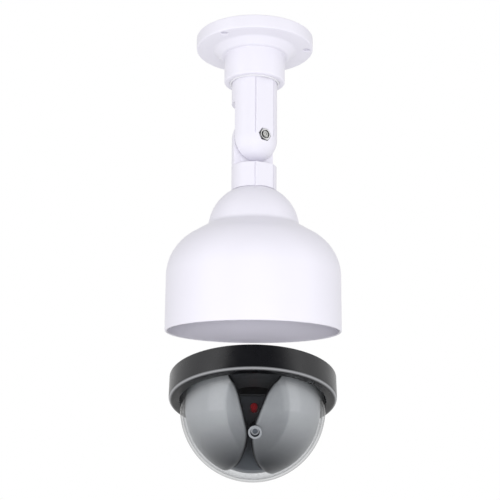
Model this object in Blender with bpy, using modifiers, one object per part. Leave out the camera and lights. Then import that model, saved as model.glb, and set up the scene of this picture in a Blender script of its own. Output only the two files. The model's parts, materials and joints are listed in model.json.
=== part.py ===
"""Dome cctv camera on a ceiling arm: the design, as separate solids in metres.

Frame: the origin is the centre of the flange's ceiling face, +Z up into the ceiling,
-Y to the front, +X to the right seen from the front. The arm hangs straight down.
The camera unit is modelled level, as it sits in the bell, and the empty on its
pull-out axis then swings it down and forward to its rest place under the bell.
"""

import math

import bmesh
import bpy

# ---- driving dimensions (metres, radians) -------------------------------------
GAP = 0.0003                      # clearance between pieces that touch

FLANGE_RADIUS = 0.0425
FLANGE_THICKNESS = 0.0095
FLANGE_WEB = 0.0029               # floor left under the recess in the ceiling face
FLANGE_RECESS_INNER = 0.0145
FLANGE_RECESS_OUTER = 0.0330
FIXING_HOLE_RADIUS = 0.0024
FIXING_HOLE_CIRCLE = 0.0380
FIXING_HOLE_TURN = math.radians(-4.5)
BOSS_TOP_RADIUS = 0.0300
BOSS_BOTTOM_RADIUS = 0.0245
BOSS_BOTTOM_Z = -0.0144
COLLAR_RADIUS = 0.0220
COLLAR_BOTTOM_Z = -0.0347
COLLAR_BORE = 0.0182
COLLAR_WEB_TOP_Z = -0.0142
COLLAR_WEB_BOTTOM_Z = -0.0182
SCREW_POCKET_RADIUS = 0.0120
BUSH_BORE = 0.0168
BUSH_STAND = 0.0005               # how far the bush shows below the collar

UPPER_ARM_RADIUS = 0.01645
LOWER_ARM_RADIUS = 0.01610
ARM_TOP_Z = -0.0185
PIVOT_Z = -0.0775
ARM_TURN = math.radians(29.5)     # the elbow bolt points this far right of the front
UPPER_SHOULDER_Z = -0.0510
LOWER_SHOULDER_Z = -0.0980
PAD_DEPTH = 0.0155                # arm axis to the flat pads
PAD_HALF_WIDTH = 0.0071
PAD_TOP_Z = -0.0356
LAP_HALF_GAP = 0.0005             # each lug stops this far from the arm's mid-plane

BOLT_RADIUS = 0.0025
BOLT_HEAD_RADIUS = 0.0044
NUT_FLATS = 0.0080
NUT_HEIGHT = 0.0039
NUT_TURN = math.radians(5)
NUT_STAND = 0.0004                # the nut stands this proud of its pad
SWIVEL_SCREW_RADIUS = 0.0030

CAP_RADIUS = 0.0322
CAP_CENTRE_Z = -0.1440
BELL_RADIUS = 0.0610
BELL_WALL = 0.0018
BELL_SHOULDER_ARC = 0.0340
BELL_SHOULDER_Z = -0.1780
BELL_CONE_SLOPE = math.radians(31.3)
RIM_Z = -0.2167
HUB_Z = -0.1180                   # flat inside the cap where the housing screws sit
LEDGE_Z = -0.1992                 # underside of the rib that the camera unit meets
LEDGE_RADIUS = 0.0558
LEDGE_HEIGHT = 0.0020
HOUSING_SCREW_X = 0.0080
HOUSING_SCREW_RADIUS = 0.0020

UNIT_TIP = math.radians(18.1)     # the camera unit tips this far as it comes out
PULL_AXIS_Y = -0.1558             # the axis that the unit swings about, in front
PULL_AXIS_Z = -0.2199
RING_RADIUS = 0.0567
RING_HEIGHT = 0.0171
RING_WALL = 0.0021
RING_LIP = 0.0024
RING_OPENING = 0.0492
DOME_RADIUS = 0.0488
DOME_WALL = 0.0016
DOME_CENTRE = -0.0036             # heights in the unit are from the ring's underside
DOME_FLANGE = (0.0027, 0.0043)
PLATE_RADIUS = 0.0542
PLATE = (0.0046, 0.0071)
LINER_RADIUS = 0.0453
LINER_WALL = 0.0012
PINCH_ANGLE = math.radians(42)    # the liner's two halves come closest here
SLOT_LEAN = math.radians(4)
LENS_ANGLE = math.radians(40.5)
LENS_X = 0.0014
LENS_RING_RADIUS = 0.0044
LENS_RADIUS = 0.0034
PANEL_HALF = 0.0010               # half of the panel's thickness
PANEL_HALF_WIDTH = 0.0380
PANEL_REACH = 0.0434              # the panel's round lower edge, from the dome's centre
SHIELD_REACH = 0.0430             # outer radius of the curved shield behind the panel
SHIELD_WALL = 0.0010
SHIELD_HALF_WIDTH = 0.0220
SHIELD_TOP = -0.0200
FOOT_HALF_WIDTH = 0.0300
LED_X = 0.0008
LED_HEIGHT = -0.0046
LED_RADIUS = 0.0025
BOARD_HALF_WIDTH = 0.0160
LEAD_RADIUS = 0.0006
BASE_SCREW_CIRCLE = 0.0519
BASE_SCREW_RADIUS = 0.0012
CELL_RADIUS = 0.00725
CELL_LENGTH = 0.0505
CELL_Y = 0.0077
CELL_HEIGHT = 0.0165
BOX_HALF_LENGTH = 0.0300
BOX_HALF_WIDTH = 0.0168
BOX = (0.0074, 0.0240)
BOX_WALL = 0.0015
DOOR = (0.0243, 0.0258)

ROUND = 32                        # facets of the large turned pieces
SMALL_ROUND = 16
TINY_ROUND = 12
OVERRUN = 0.0005                  # a cutter runs at least this far past the face it cuts
SHARP = math.radians(35)          # edges that turn by more than this stay sharp


# ---- scene --------------------------------------------------------------------
for old in list(bpy.data.objects):
    bpy.data.objects.remove(old, do_unlink=True)


def new_collection(name):
    collection = bpy.data.collections.new(name)
    bpy.context.scene.collection.children.link(collection)
    return collection


parts = new_collection("dome_cctv_camera")
cutters = new_collection("cutters")


def material(name, colour, roughness, metallic=0.0, alpha=1.0):
    made = bpy.data.materials.new(name)
    made.use_nodes = True
    shader = made.node_tree.nodes["Principled BSDF"]
    shader.inputs["Base Color"].default_value = (*colour, 1.0)
    shader.inputs["Roughness"].default_value = roughness
    shader.inputs["Metallic"].default_value = metallic
    shader.inputs["Alpha"].default_value = alpha
    return made


WHITE = ("white_plastic", (0.80, 0.78, 0.86), 0.38)
NYLON = ("nylon", (0.85, 0.84, 0.88), 0.45)
BLACK = ("black_plastic", (0.012, 0.012, 0.014), 0.18)
DARK = ("dark_plastic", (0.03, 0.032, 0.036), 0.45)
CLEAR = ("clear_plastic", (0.92, 0.93, 0.95), 0.03, 0.0, 0.25)
SILVER = ("silver_paint", (0.42, 0.43, 0.45), 0.35, 0.4)
STEEL = ("steel", (0.62, 0.62, 0.60), 0.25, 1.0)
RED = ("red_plastic", (0.75, 0.03, 0.05), 0.15)
BOARD = ("board_green", (0.03, 0.20, 0.09), 0.4)


# ---- building blocks ----------------------------------------------------------
def empty(name, location, rotation=(0, 0, 0), parent=None):
    made = bpy.data.objects.new(name, None)
    made.empty_display_size = 0.01
    made.location = location
    made.rotation_euler = rotation
    made.parent = parent
    parts.objects.link(made)
    return made


def place(made, finish, parent, location, rotation):
    """Link a piece, or a cutter when it has no finish, and put it in its place."""
    made.location = location
    made.rotation_euler = rotation
    made.parent = parent
    if finish:
        parts.objects.link(made)
        made.data.materials.append(material(made.name, *finish[1:]))
    else:
        cutters.objects.link(made)
        made.hide_render = True
        made.display_type = "WIRE"
    return made


def turned(name, outline, finish=None, parent=None, location=(0, 0, 0), rotation=(0, 0, 0),
           steps=ROUND, closed=False):
    """Turn (radius, height) points about Z; closed joins the last point to the first."""
    mesh = bpy.data.meshes.new(name)
    count = len(outline)
    edges = [(i, (i + 1) % count) for i in range(count if closed else count - 1)]
    mesh.from_pydata([(radius, 0, height) for radius, height in outline], edges, [])
    made = place(bpy.data.objects.new(name, mesh), finish, parent, location, rotation)
    screw = made.modifiers.new("turn", "SCREW")
    screw.steps = steps
    screw.render_steps = steps
    screw.use_merge_vertices = True
    screw.merge_threshold = 0.00001
    screw.use_smooth_shade = False
    return made


def rod(name, radius, low, high, finish=None, parent=None, location=(0, 0, 0),
        rotation=(0, 0, 0), steps=SMALL_ROUND):
    """A round bar along Z from low to high."""
    outline = [(0, high), (radius, high), (radius, low), (0, low)]
    return turned(name, outline, finish, parent, location, rotation, steps)


def sleeve(name, bore, radius, low, high, finish=None, parent=None, location=(0, 0, 0),
           rotation=(0, 0, 0), steps=SMALL_ROUND):
    outline = [(radius, high), (radius, low), (bore, low), (bore, high)]
    return turned(name, outline, finish, parent, location, rotation, steps, closed=True)


def block(name, low, high, finish=None, parent=None, location=(0, 0, 0), rotation=(0, 0, 0)):
    """A box between two corners."""
    mesh = bpy.data.meshes.new(name)
    cube = bmesh.new()
    bmesh.ops.create_cube(cube, size=1.0)
    for corner in cube.verts:
        for axis in range(3):
            middle = (low[axis] + high[axis]) / 2
            corner.co[axis] = middle + corner.co[axis] * (high[axis] - low[axis])
    cube.to_mesh(mesh)
    cube.free()
    return place(bpy.data.objects.new(name, mesh), finish, parent, location, rotation)


def as_mesh(curve_object, finish, parent, location, rotation):
    """Swap a filled curve for the mesh that it draws, with its caps welded on."""
    bpy.context.view_layer.update()
    graph = bpy.context.evaluated_depsgraph_get()
    mesh = bpy.data.meshes.new_from_object(curve_object.evaluated_get(graph))
    name = curve_object.name
    bpy.data.objects.remove(curve_object, do_unlink=True)
    body = bmesh.new()
    body.from_mesh(mesh)
    bmesh.ops.remove_doubles(body, verts=body.verts, dist=0.000001)
    body.to_mesh(mesh)
    body.free()
    mesh.materials.clear()
    return place(bpy.data.objects.new(name, mesh), finish, parent, location, rotation)


def slab(name, points, thickness, finish=None, parent=None, location=(0, 0, 0),
         rotation=(0, 0, 0)):
    """A flat outline in XY, as thick as given, centred on z = 0."""
    curve = bpy.data.curves.new(name, "CURVE")
    curve.dimensions = "2D"
    curve.fill_mode = "BOTH"
    curve.extrude = thickness / 2
    spline = curve.splines.new("POLY")
    spline.points.add(len(points) - 1)
    for point, (x, y) in zip(spline.points, points):
        point.co = (x, y, 0, 1)
    spline.use_cyclic_u = True
    made = bpy.data.objects.new(name, curve)
    bpy.context.scene.collection.objects.link(made)
    return as_mesh(made, finish, parent, location, rotation)


def wire(name, points, radius, finish, parent):
    """A round wire through the points."""
    curve = bpy.data.curves.new(name, "CURVE")
    curve.dimensions = "3D"
    curve.bevel_depth = radius
    curve.bevel_resolution = 1
    curve.use_fill_caps = True
    spline = curve.splines.new("POLY")
    spline.points.add(len(points) - 1)
    for point, place_of in zip(spline.points, points):
        point.co = (*place_of, 1)
    made = bpy.data.objects.new(name, curve)
    bpy.context.scene.collection.objects.link(made)
    return as_mesh(made, finish, parent, (0, 0, 0), (0, 0, 0))


def combine(target, other, operation="DIFFERENCE"):
    boolean = target.modifiers.new(other.name, "BOOLEAN")
    boolean.operation = operation
    boolean.object = other
    boolean.solver = "EXACT"


def arc(centre, radius, start, end, count):
    """Points on a circle in (radius, height), from one angle to the other."""
    points = []
    for i in range(count + 1):
        angle = start + (end - start) * i / count
        points.append((centre[0] + radius * math.cos(angle), centre[1] + radius * math.sin(angle)))
    return points


def smooth(points, per_span):
    """Points on a Catmull-Rom curve through the given ones."""
    ends = [points[0], *points, points[-1]]
    curve = []
    for i in range(1, len(ends) - 2):
        for j in range(per_span):
            t = j / per_span
            before, start, end, after = ends[i - 1:i + 3]
            curve.append(tuple(
                0.5 * (2 * start[k] + (end[k] - before[k]) * t
                       + (2 * before[k] - 5 * start[k] + 4 * end[k] - after[k]) * t * t
                       + (3 * start[k] - before[k] - 3 * end[k] + after[k]) * t ** 3)
                for k in range(len(start))))
    curve.append(points[-1])
    return curve


def cross_recess(screw, radius, top, depth, parent, location=(0, 0, 0), rotation=(0, 0, 0)):
    """Cut a plain cross into the top of a screw's head."""
    for index, turn in enumerate((0, math.pi / 2)):
        bar = block(f"{screw.name}_cross_{index}",
                    (-radius * 0.55, -radius * 0.12, top - depth),
                    (radius * 0.55, radius * 0.12, top + OVERRUN),
                    None, parent, location, (rotation[0], rotation[1], rotation[2] + turn))
        combine(screw, bar)


def pan_screw(name, radius, head_radius, head, tip, finish, parent, location=(0, 0, 0),
              rotation=(0, 0, 0)):
    """A screw along Z: its head spans two heights, and its shank ends at the tip."""
    seat, top = head
    outline = [(0, top), (head_radius * 0.6, top), (head_radius, (seat + top) / 2),
               (head_radius, seat), (radius, seat), (radius, tip + radius * 0.5),
               (radius * 0.5, tip), (0, tip)]
    screw = turned(name, outline, finish, parent, location, rotation, TINY_ROUND)
    cross_recess(screw, head_radius, top, (top - seat) * 0.45, parent, location, rotation)
    return screw


# ---- ceiling flange with its boss and collar ----------------------------------
def ceiling_flange():
    edge = 0.0008
    face = -FLANGE_THICKNESS
    recess = face + FLANGE_WEB
    outline = [
        (FLANGE_RADIUS - edge, 0), (FLANGE_RADIUS, -edge), (FLANGE_RADIUS, face + edge),
        (FLANGE_RADIUS - edge, face), (BOSS_TOP_RADIUS, face),
        (BOSS_BOTTOM_RADIUS + 0.0006, BOSS_BOTTOM_Z + 0.0005),
        (BOSS_BOTTOM_RADIUS, BOSS_BOTTOM_Z),
        (COLLAR_RADIUS, BOSS_BOTTOM_Z), (COLLAR_RADIUS, COLLAR_BOTTOM_Z + 0.0012),
        (COLLAR_RADIUS - 0.0004, COLLAR_BOTTOM_Z + 0.0003),
        (COLLAR_RADIUS - 0.0013, COLLAR_BOTTOM_Z),
        (COLLAR_BORE, COLLAR_BOTTOM_Z), (COLLAR_BORE, COLLAR_WEB_BOTTOM_Z),
        (SWIVEL_SCREW_RADIUS + GAP, COLLAR_WEB_BOTTOM_Z),
        (SWIVEL_SCREW_RADIUS + GAP, COLLAR_WEB_TOP_Z), (SCREW_POCKET_RADIUS, COLLAR_WEB_TOP_Z),
        (SCREW_POCKET_RADIUS, 0), (FLANGE_RECESS_INNER, 0), (FLANGE_RECESS_INNER, recess),
        (FLANGE_RECESS_OUTER, recess), (FLANGE_RECESS_OUTER, 0),
    ]
    flange = turned("ceiling_flange", outline, WHITE, closed=True)
    for index in range(3):
        angle = FIXING_HOLE_TURN - index * math.tau / 3
        hole = rod(f"fixing_hole_{index}", FIXING_HOLE_RADIUS, face - 0.002, 0.002,
                   location=(FIXING_HOLE_CIRCLE * math.cos(angle),
                             FIXING_HOLE_CIRCLE * math.sin(angle), 0))
        combine(flange, hole)


def swivel():
    """The bush in the collar, and the screw and washer that hold the arm up in it."""
    sleeve("collar_bush", BUSH_BORE, COLLAR_BORE - GAP, COLLAR_BOTTOM_Z - BUSH_STAND,
           COLLAR_WEB_BOTTOM_Z - GAP, NYLON, steps=ROUND)
    washer_low = COLLAR_WEB_TOP_Z + GAP
    washer_high = washer_low + 0.0015
    sleeve("swivel_washer", SWIVEL_SCREW_RADIUS + GAP, 0.0095, washer_low, washer_high, STEEL)
    pan_screw("swivel_screw", SWIVEL_SCREW_RADIUS, 0.0056,
              (washer_high + GAP, washer_high + 0.0043), -0.0360, STEEL, None)


# ---- the two arms and the elbow -----------------------------------------------
def pads(arm, elbow, top, bottom, depth):
    """A flat pad down the bolt's side of an arm, and another down the far side."""
    rail = block(f"{arm.name}_rail", (-PAD_HALF_WIDTH, -depth - 0.001, bottom),
                 (PAD_HALF_WIDTH, depth + 0.001, top), None, elbow)
    combine(arm, rail, "UNION")
    for side in (-1, 1):
        faces = sorted((side * depth, side * (depth + 0.004)))
        skim = block(f"{arm.name}_skim_{side + 1}", (-0.012, faces[0], -0.060),
                     (0.012, faces[1], 0.060), None, elbow)
        combine(arm, skim)


def upper_arm(elbow):
    top = ARM_TOP_Z - PIVOT_Z
    radius = UPPER_ARM_RADIUS
    outline = [(0, top), (radius - 0.0006, top), (radius, top - 0.0006)]
    outline += arc((0, 0), radius, 0, -math.pi / 2, 7)[:-1] + [(0, -radius)]
    arm = turned("upper_arm", outline, WHITE, elbow)
    pads(arm, elbow, PAD_TOP_Z - PIVOT_Z, 0, PAD_DEPTH)
    behind = block("upper_lap", (-0.030, -LAP_HALF_GAP, -0.030),
                   (0.030, 0.030, UPPER_SHOULDER_Z - PIVOT_Z), None, elbow)
    combine(arm, behind)
    bore = rod("upper_bore", SWIVEL_SCREW_RADIUS + GAP, top - 0.0185, top + 0.001,
               None, elbow)
    combine(arm, bore)
    hole = rod("upper_bolt_hole", BOLT_RADIUS + GAP, -0.030, 0.030, None, elbow,
               rotation=(math.pi / 2, 0, 0))
    combine(arm, hole)
    floor = PAD_DEPTH + NUT_STAND - NUT_HEIGHT - GAP
    pocket = rod("nut_pocket", (NUT_FLATS / 2 + GAP) / math.cos(math.pi / 6), floor, 0.030,
                 None, elbow, rotation=(math.pi / 2, NUT_TURN, 0), steps=6)
    combine(arm, pocket)


def lower_arm(elbow):
    radius = LOWER_ARM_RADIUS
    bottom = CAP_CENTRE_Z + CAP_RADIUS - 0.008 - PIVOT_Z
    outline = [(0, radius)] + arc((0, 0), radius, math.pi / 2, 0, 7)[1:]
    outline += [(radius, bottom), (0, bottom)]
    arm = turned("lower_arm", outline, WHITE, elbow)
    pads(arm, elbow, 0, bottom, PAD_DEPTH - 0.0003)
    ahead = block("lower_lap", (-0.030, -0.030, LOWER_SHOULDER_Z - PIVOT_Z),
                  (0.030, LAP_HALF_GAP, 0.030), None, elbow)
    combine(arm, ahead)
    seat_radius = CAP_RADIUS + GAP
    seat = turned("cap_seat", arc((0, 0), seat_radius, math.pi / 2, -math.pi / 2, 18),
                  None, elbow, (0, 0, CAP_CENTRE_Z - PIVOT_Z))
    combine(arm, seat)
    hole = rod("lower_bolt_hole", BOLT_RADIUS + GAP, -0.030, 0.030, None, elbow,
               rotation=(math.pi / 2, 0, 0))
    combine(arm, hole)
    counterbore = rod("head_pocket", 0.0052, -0.030, -0.0107, None, elbow,
                      rotation=(math.pi / 2, 0, 0))
    combine(arm, counterbore)
    for side in (-1, 1):
        tapped = rod(f"housing_hole_{side + 1}", HOUSING_SCREW_RADIUS + GAP, -0.050,
                     -0.1035 - PIVOT_Z, None, elbow, (side * HOUSING_SCREW_X, 0, 0),
                     steps=TINY_ROUND)
        combine(arm, tapped)


def elbow_fastening(elbow):
    """Bolt, nut and washers, along the bolt axis: +Z of each piece is the front end."""
    forward = (math.pi / 2, 0, 0)
    sleeve("elbow_washer", BOLT_RADIUS + GAP, 0.0090, -0.0002, 0.0002, NYLON, elbow,
           rotation=forward, steps=24)
    sleeve("bolt_head_washer", BOLT_RADIUS + GAP, 0.0048, -0.0118, -0.0110, STEEL, elbow,
           rotation=forward)
    front = PAD_DEPTH + NUT_STAND
    outline = [(0, front + 0.0003), (BOLT_RADIUS - 0.0004, front + 0.0003),
               (BOLT_RADIUS, front - 0.0002), (BOLT_RADIUS, -0.0121), (BOLT_HEAD_RADIUS, -0.0121),
               (BOLT_HEAD_RADIUS, -0.0143), (BOLT_HEAD_RADIUS * 0.6, -0.0152), (0, -0.0152)]
    bolt = turned("elbow_bolt", outline, STEEL, elbow, rotation=forward, steps=SMALL_ROUND)
    hexagon = NUT_FLATS / 2 / math.cos(math.pi / 6)
    for index, turn in enumerate((0, math.pi / 2)):
        bar = block(f"bolt_cross_{index}", (-0.0024, -0.0005, -0.0158), (0.0024, 0.0005, -0.0139),
                    None, elbow, rotation=(math.pi / 2, turn, 0))
        combine(bolt, bar)
    nut = rod("elbow_nut", hexagon, front - NUT_HEIGHT, front, STEEL, elbow,
              rotation=(math.pi / 2, NUT_TURN, 0), steps=6)
    bore = rod("nut_bore", BOLT_RADIUS + GAP, 0, 0.030, None, elbow, rotation=forward)
    combine(nut, bore)


# ---- bell housing -------------------------------------------------------------
def bell_profile(inset):
    """Cap, cone, shoulder and side of the bell, down to the rim, moved in by inset."""
    cap = CAP_RADIUS - inset
    shoulder = BELL_SHOULDER_ARC - inset
    shoulder_x = BELL_RADIUS - BELL_SHOULDER_ARC
    normal = math.pi / 2 - BELL_CONE_SLOPE
    # the cone's line leaves the shoulder's arc here, and runs up until it meets the cap's circle
    reach = shoulder_x + shoulder * math.cos(normal)
    height = BELL_SHOULDER_Z + shoulder * math.sin(normal)
    slope = math.tan(BELL_CONE_SLOPE)
    a = 1 + slope * slope
    offset = height + slope * reach - CAP_CENTRE_Z
    b = -2 * slope * offset
    c = offset * offset - cap * cap
    crease_x = (-b + math.sqrt(b * b - 4 * a * c)) / (2 * a)
    crease_angle = math.atan2(offset - slope * crease_x, crease_x)
    profile = arc((0, CAP_CENTRE_Z), cap, math.pi / 2, crease_angle, 6)
    profile += arc((shoulder_x, BELL_SHOULDER_Z), shoulder, normal, 0, 5)
    return profile


def bell_housing(lower):
    outer = bell_profile(0)
    outer[0] = (0, CAP_CENTRE_Z + CAP_RADIUS)
    inner = [point for point in bell_profile(BELL_WALL) if point[1] < HUB_Z]
    side = BELL_RADIUS - BELL_WALL
    lip = BELL_WALL / 2
    rim = arc((BELL_RADIUS - lip, RIM_Z + lip), lip, 0, -math.pi, 4)
    ledge_top = LEDGE_Z + LEDGE_HEIGHT
    ledge = [(side, LEDGE_Z - 0.0005), (LEDGE_RADIUS, LEDGE_Z),
             (LEDGE_RADIUS, ledge_top), (side, ledge_top)]
    hub_radius = math.sqrt((CAP_RADIUS - BELL_WALL) ** 2 - (HUB_Z - CAP_CENTRE_Z) ** 2)
    outline = outer + rim + ledge + inner[::-1] + [(hub_radius, HUB_Z), (0, HUB_Z)]
    bell = turned("bell_housing", outline, WHITE, lower)
    flip = (math.pi, 0, 0)
    for index, across in enumerate((-HOUSING_SCREW_X, HOUSING_SCREW_X)):
        at = (across * math.cos(ARM_TURN), across * math.sin(ARM_TURN), 0)
        hole = rod(f"hub_hole_{index}", HOUSING_SCREW_RADIUS + GAP, HUB_Z - 0.004, -0.108,
                   None, lower, at, steps=TINY_ROUND)
        combine(bell, hole)
        pan_screw(f"housing_screw_{index + 1}", HOUSING_SCREW_RADIUS, 0.0040,
                  (-HUB_Z + GAP, -HUB_Z + 0.0026), 0.1042, STEEL, lower, at, flip)


# ---- camera unit ---------------------------------------------------------------
def bezel_ring(unit):
    inner = RING_RADIUS - RING_WALL
    corner = 0.0022
    outline = [(RING_RADIUS - 0.0004, RING_HEIGHT), (RING_RADIUS, RING_HEIGHT - 0.0004)]
    outline += arc((RING_RADIUS - corner, corner), corner, 0, -math.pi / 2, 4)
    outline += [(RING_OPENING + 0.0005, 0), (RING_OPENING, 0.0005), (RING_OPENING, RING_LIP),
                (inner, RING_LIP), (inner, RING_HEIGHT)]
    ring = turned("bezel_ring", outline, BLACK, unit, closed=True)
    return ring


def clear_dome(unit):
    low, high = DOME_FLANGE
    inner = DOME_RADIUS - DOME_WALL
    outline = [(PLATE_RADIUS, high), (PLATE_RADIUS, low), (DOME_RADIUS, low)]
    outline += arc((0, DOME_CENTRE), DOME_RADIUS, 0, -math.pi / 2, 9)[:-1]
    outline += [(0, DOME_CENTRE - DOME_RADIUS), (0, DOME_CENTRE - inner)]
    outline += arc((0, DOME_CENTRE), inner, -math.pi / 2, 0, 9)[1:]
    outline += [(inner, high)]
    return turned("clear_dome", outline, CLEAR, unit, closed=True)


def base_plate(unit):
    plate = rod("base_plate", PLATE_RADIUS, *PLATE, DARK, unit, steps=ROUND)
    half_round = [(0.0155 * math.cos(a), 0.0155 * math.sin(a))
                  for a in (math.pi + math.pi * i / 16 for i in range(17))]
    recess = slab("plate_recess", half_round, 0.0024, None, unit,
                  (LED_X, -PANEL_HALF - 0.0006, PLATE[0]))
    combine(plate, recess)
    wire_hole = block("wire_hole", (-0.0365, -0.0095, PLATE[0] - 0.001),
                      (-0.0325, 0.0095, PLATE[1] + 0.001), None, unit)
    combine(plate, wire_hole)
    return plate


def base_screws(unit, ring, dome, plate):
    for index in range(3):
        angle = math.pi / 2 + index * math.tau / 3
        at = (BASE_SCREW_CIRCLE * math.cos(angle), BASE_SCREW_CIRCLE * math.sin(angle), 0)
        for owner, low, high in ((ring, 0.0008, RING_LIP + 0.001),
                                 (dome, DOME_FLANGE[0] - 0.001, DOME_FLANGE[1] + 0.001),
                                 (plate, PLATE[0] - 0.001, PLATE[1] + 0.001)):
            hole = rod(f"{owner.name}_screw_hole_{index}", BASE_SCREW_RADIUS + GAP,
                       low, high, None, unit, at, steps=TINY_ROUND)
            combine(owner, hole)
        pan_screw(f"base_screw_{index + 1}", BASE_SCREW_RADIUS, 0.0022,
                  (PLATE[1] + GAP, PLATE[1] + 0.0018), 0.0011, STEEL, unit, at)


def liner_profile():
    inner = LINER_RADIUS - LINER_WALL
    top = PLATE[0] - GAP
    outline = [(LINER_RADIUS, top)]
    outline += arc((0, DOME_CENTRE), LINER_RADIUS, 0, -math.pi / 2, 9)[:-1]
    outline += [(0, DOME_CENTRE - LINER_RADIUS), (0, DOME_CENTRE - inner)]
    outline += arc((0, DOME_CENTRE), inner, -math.pi / 2, 0, 9)[1:]
    return outline + [(inner, top)]


def liner_halves(unit):
    """Two half shells inside the dome, parted by a slot that narrows at the lens.

    The slot's edge is drawn as seen along the pinch direction: x is half its width,
    and y runs up the front of the dome, negative towards its bottom and back.
    """
    edge = smooth([(0.0110, -0.0350), (0.0066, -0.0265), (0.0034, -0.0180), (0.0013, -0.0080),
                   (0.0010, 0.0), (0.0030, 0.0070), (0.0060, 0.0160), (0.0105, 0.0260),
                   (0.0200, 0.0345)], 2)
    edge = [(0.0185, -0.0520), (0.0148, -0.0425)] + edge + [(0.0420, 0.0480), (0.0420, 0.0700)]
    far = [(0.0800, 0.0700), (0.0800, -0.0520)]
    toward_pinch = (math.pi / 2 + PINCH_ANGLE, SLOT_LEAN, 0)
    lens_hole_at = (LENS_X, 0, DOME_CENTRE)
    lens_hole_turn = (math.pi / 2 + LENS_ANGLE, 0, 0)
    for name, side in (("liner_left", -1), ("liner_right", 1)):
        half = turned(name, liner_profile(), SILVER, unit, steps=ROUND, closed=True)
        outline = [(side * x, y) for x, y in edge + far]
        keep = slab(f"{name}_outline", outline, 0.200, None, unit, (0, 0, DOME_CENTRE),
                    toward_pinch)
        combine(half, keep, "INTERSECT")
        hole = rod(f"{name}_lens_hole", LENS_RING_RADIUS - 0.0002, 0.0200, 0.0600, None, unit,
                   lens_hole_at, lens_hole_turn)
        combine(half, hole)


def lens(unit):
    """Barrel, ring and glass of the dummy lens; +Z of each runs out along its axis."""
    at = (LENS_X, 0, DOME_CENTRE)
    out = (math.pi / 2 + LENS_ANGLE, 0, 0)
    ring_low = LINER_RADIUS + GAP
    ring_high = ring_low + 0.0008
    barrel_radius = LENS_RING_RADIUS - 0.0006
    barrel = [(barrel_radius, ring_low - GAP), (barrel_radius, 0.0370), (0, 0.0370),
              (0, 0.0385), (LENS_RADIUS - 0.0004, 0.0385), (LENS_RADIUS - 0.0004, 0.0428),
              (LENS_RADIUS, 0.0428), (LENS_RADIUS, ring_low - GAP)]
    turned("lens_barrel", barrel, BLACK, unit, at, out, steps=24, closed=True)
    ring = [(LENS_RING_RADIUS - 0.0003, ring_high), (LENS_RING_RADIUS, ring_high - 0.0003),
            (LENS_RING_RADIUS, ring_low), (LENS_RADIUS - 0.0002, ring_low),
            (LENS_RADIUS - 0.0005, ring_high)]
    turned("lens_ring", ring, STEEL, unit, at, out, steps=24, closed=True)
    bulge = 0.0010
    glass_radius = LENS_RADIUS - GAP
    glass_low = 0.0431
    outline = [(0, glass_low + 0.0006 + bulge)]
    outline += [(glass_radius * t, glass_low + 0.0006 + bulge * (1 - t * t))
                for t in (0.35, 0.7, 1.0)]
    outline += [(glass_radius, glass_low), (0, glass_low)]
    turned("lens_glass", outline, ("glass", (0.02, 0.02, 0.03), 0.05), unit, at, out, steps=24)


def led_panel(unit):
    """A plate standing across the dome, with a foot and a curved shield behind it.

    The shield closes the slot between the liner's halves from inside, at the back.
    """
    top = PLATE[0] - GAP
    corner = math.acos(PANEL_HALF_WIDTH / PANEL_REACH)
    curve = arc((0, DOME_CENTRE), PANEL_REACH, math.pi + corner, math.tau - corner, 14)
    outline = [(-PANEL_HALF_WIDTH, top)] + curve + [(PANEL_HALF_WIDTH, top)]
    upright = (math.pi / 2, 0, 0)
    panel = slab("led_panel", outline, PANEL_HALF * 2, DARK, unit, (0, 0, 0), upright)
    foot_low = top - 0.0022
    foot_high = top - 0.00005
    foot = block("panel_foot", (-FOOT_HALF_WIDTH, 0, foot_low),
                 (FOOT_HALF_WIDTH, 0.0090, foot_high), None, unit)
    combine(panel, foot, "UNION")
    inner = SHIELD_REACH - SHIELD_WALL
    centre = (0, DOME_CENTRE)
    outline = arc(centre, SHIELD_REACH, 0, -math.pi / 2, 9)[:-1]
    outline += [(0, DOME_CENTRE - SHIELD_REACH), (0, DOME_CENTRE - inner)]
    outline += arc(centre, inner, -math.pi / 2, 0, 9)[1:]
    shield = turned("panel_shield", outline, None, unit, closed=True)
    bounds = block("shield_bounds", (-SHIELD_HALF_WIDTH, -PANEL_HALF / 2, -0.060),
                   (SHIELD_HALF_WIDTH, 0.060, SHIELD_TOP), None, unit)
    combine(shield, bounds, "INTERSECT")
    combine(panel, shield, "UNION")
    window = rod("led_hole", LED_RADIUS + GAP, -0.005, 0.005, None, unit,
                 (LED_X, 0, LED_HEIGHT), upright)
    combine(panel, window)
    return panel, foot_low


def panel_screws(unit, panel, plate, foot_low):
    for side in (-1, 1):
        at = (side * 0.0240, 0.0058, 0)
        through = rod(f"foot_hole_{side + 1}", 0.0015, foot_low - 0.001, PLATE[0] + 0.001,
                      None, unit, at, steps=TINY_ROUND)
        combine(panel, through)
        blind = rod(f"plate_foot_hole_{side + 1}", 0.0015, PLATE[0] - 0.001, PLATE[1] - 0.0004,
                    None, unit, at, steps=TINY_ROUND)
        combine(plate, blind)
        pan_screw(f"panel_screw_{(side + 3) // 2}", 0.0012, 0.0021,
                  (-foot_low + GAP, -foot_low + 0.0017), -PLATE[1] + 0.0008, STEEL, unit, at,
                  (math.pi, 0, 0))


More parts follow.
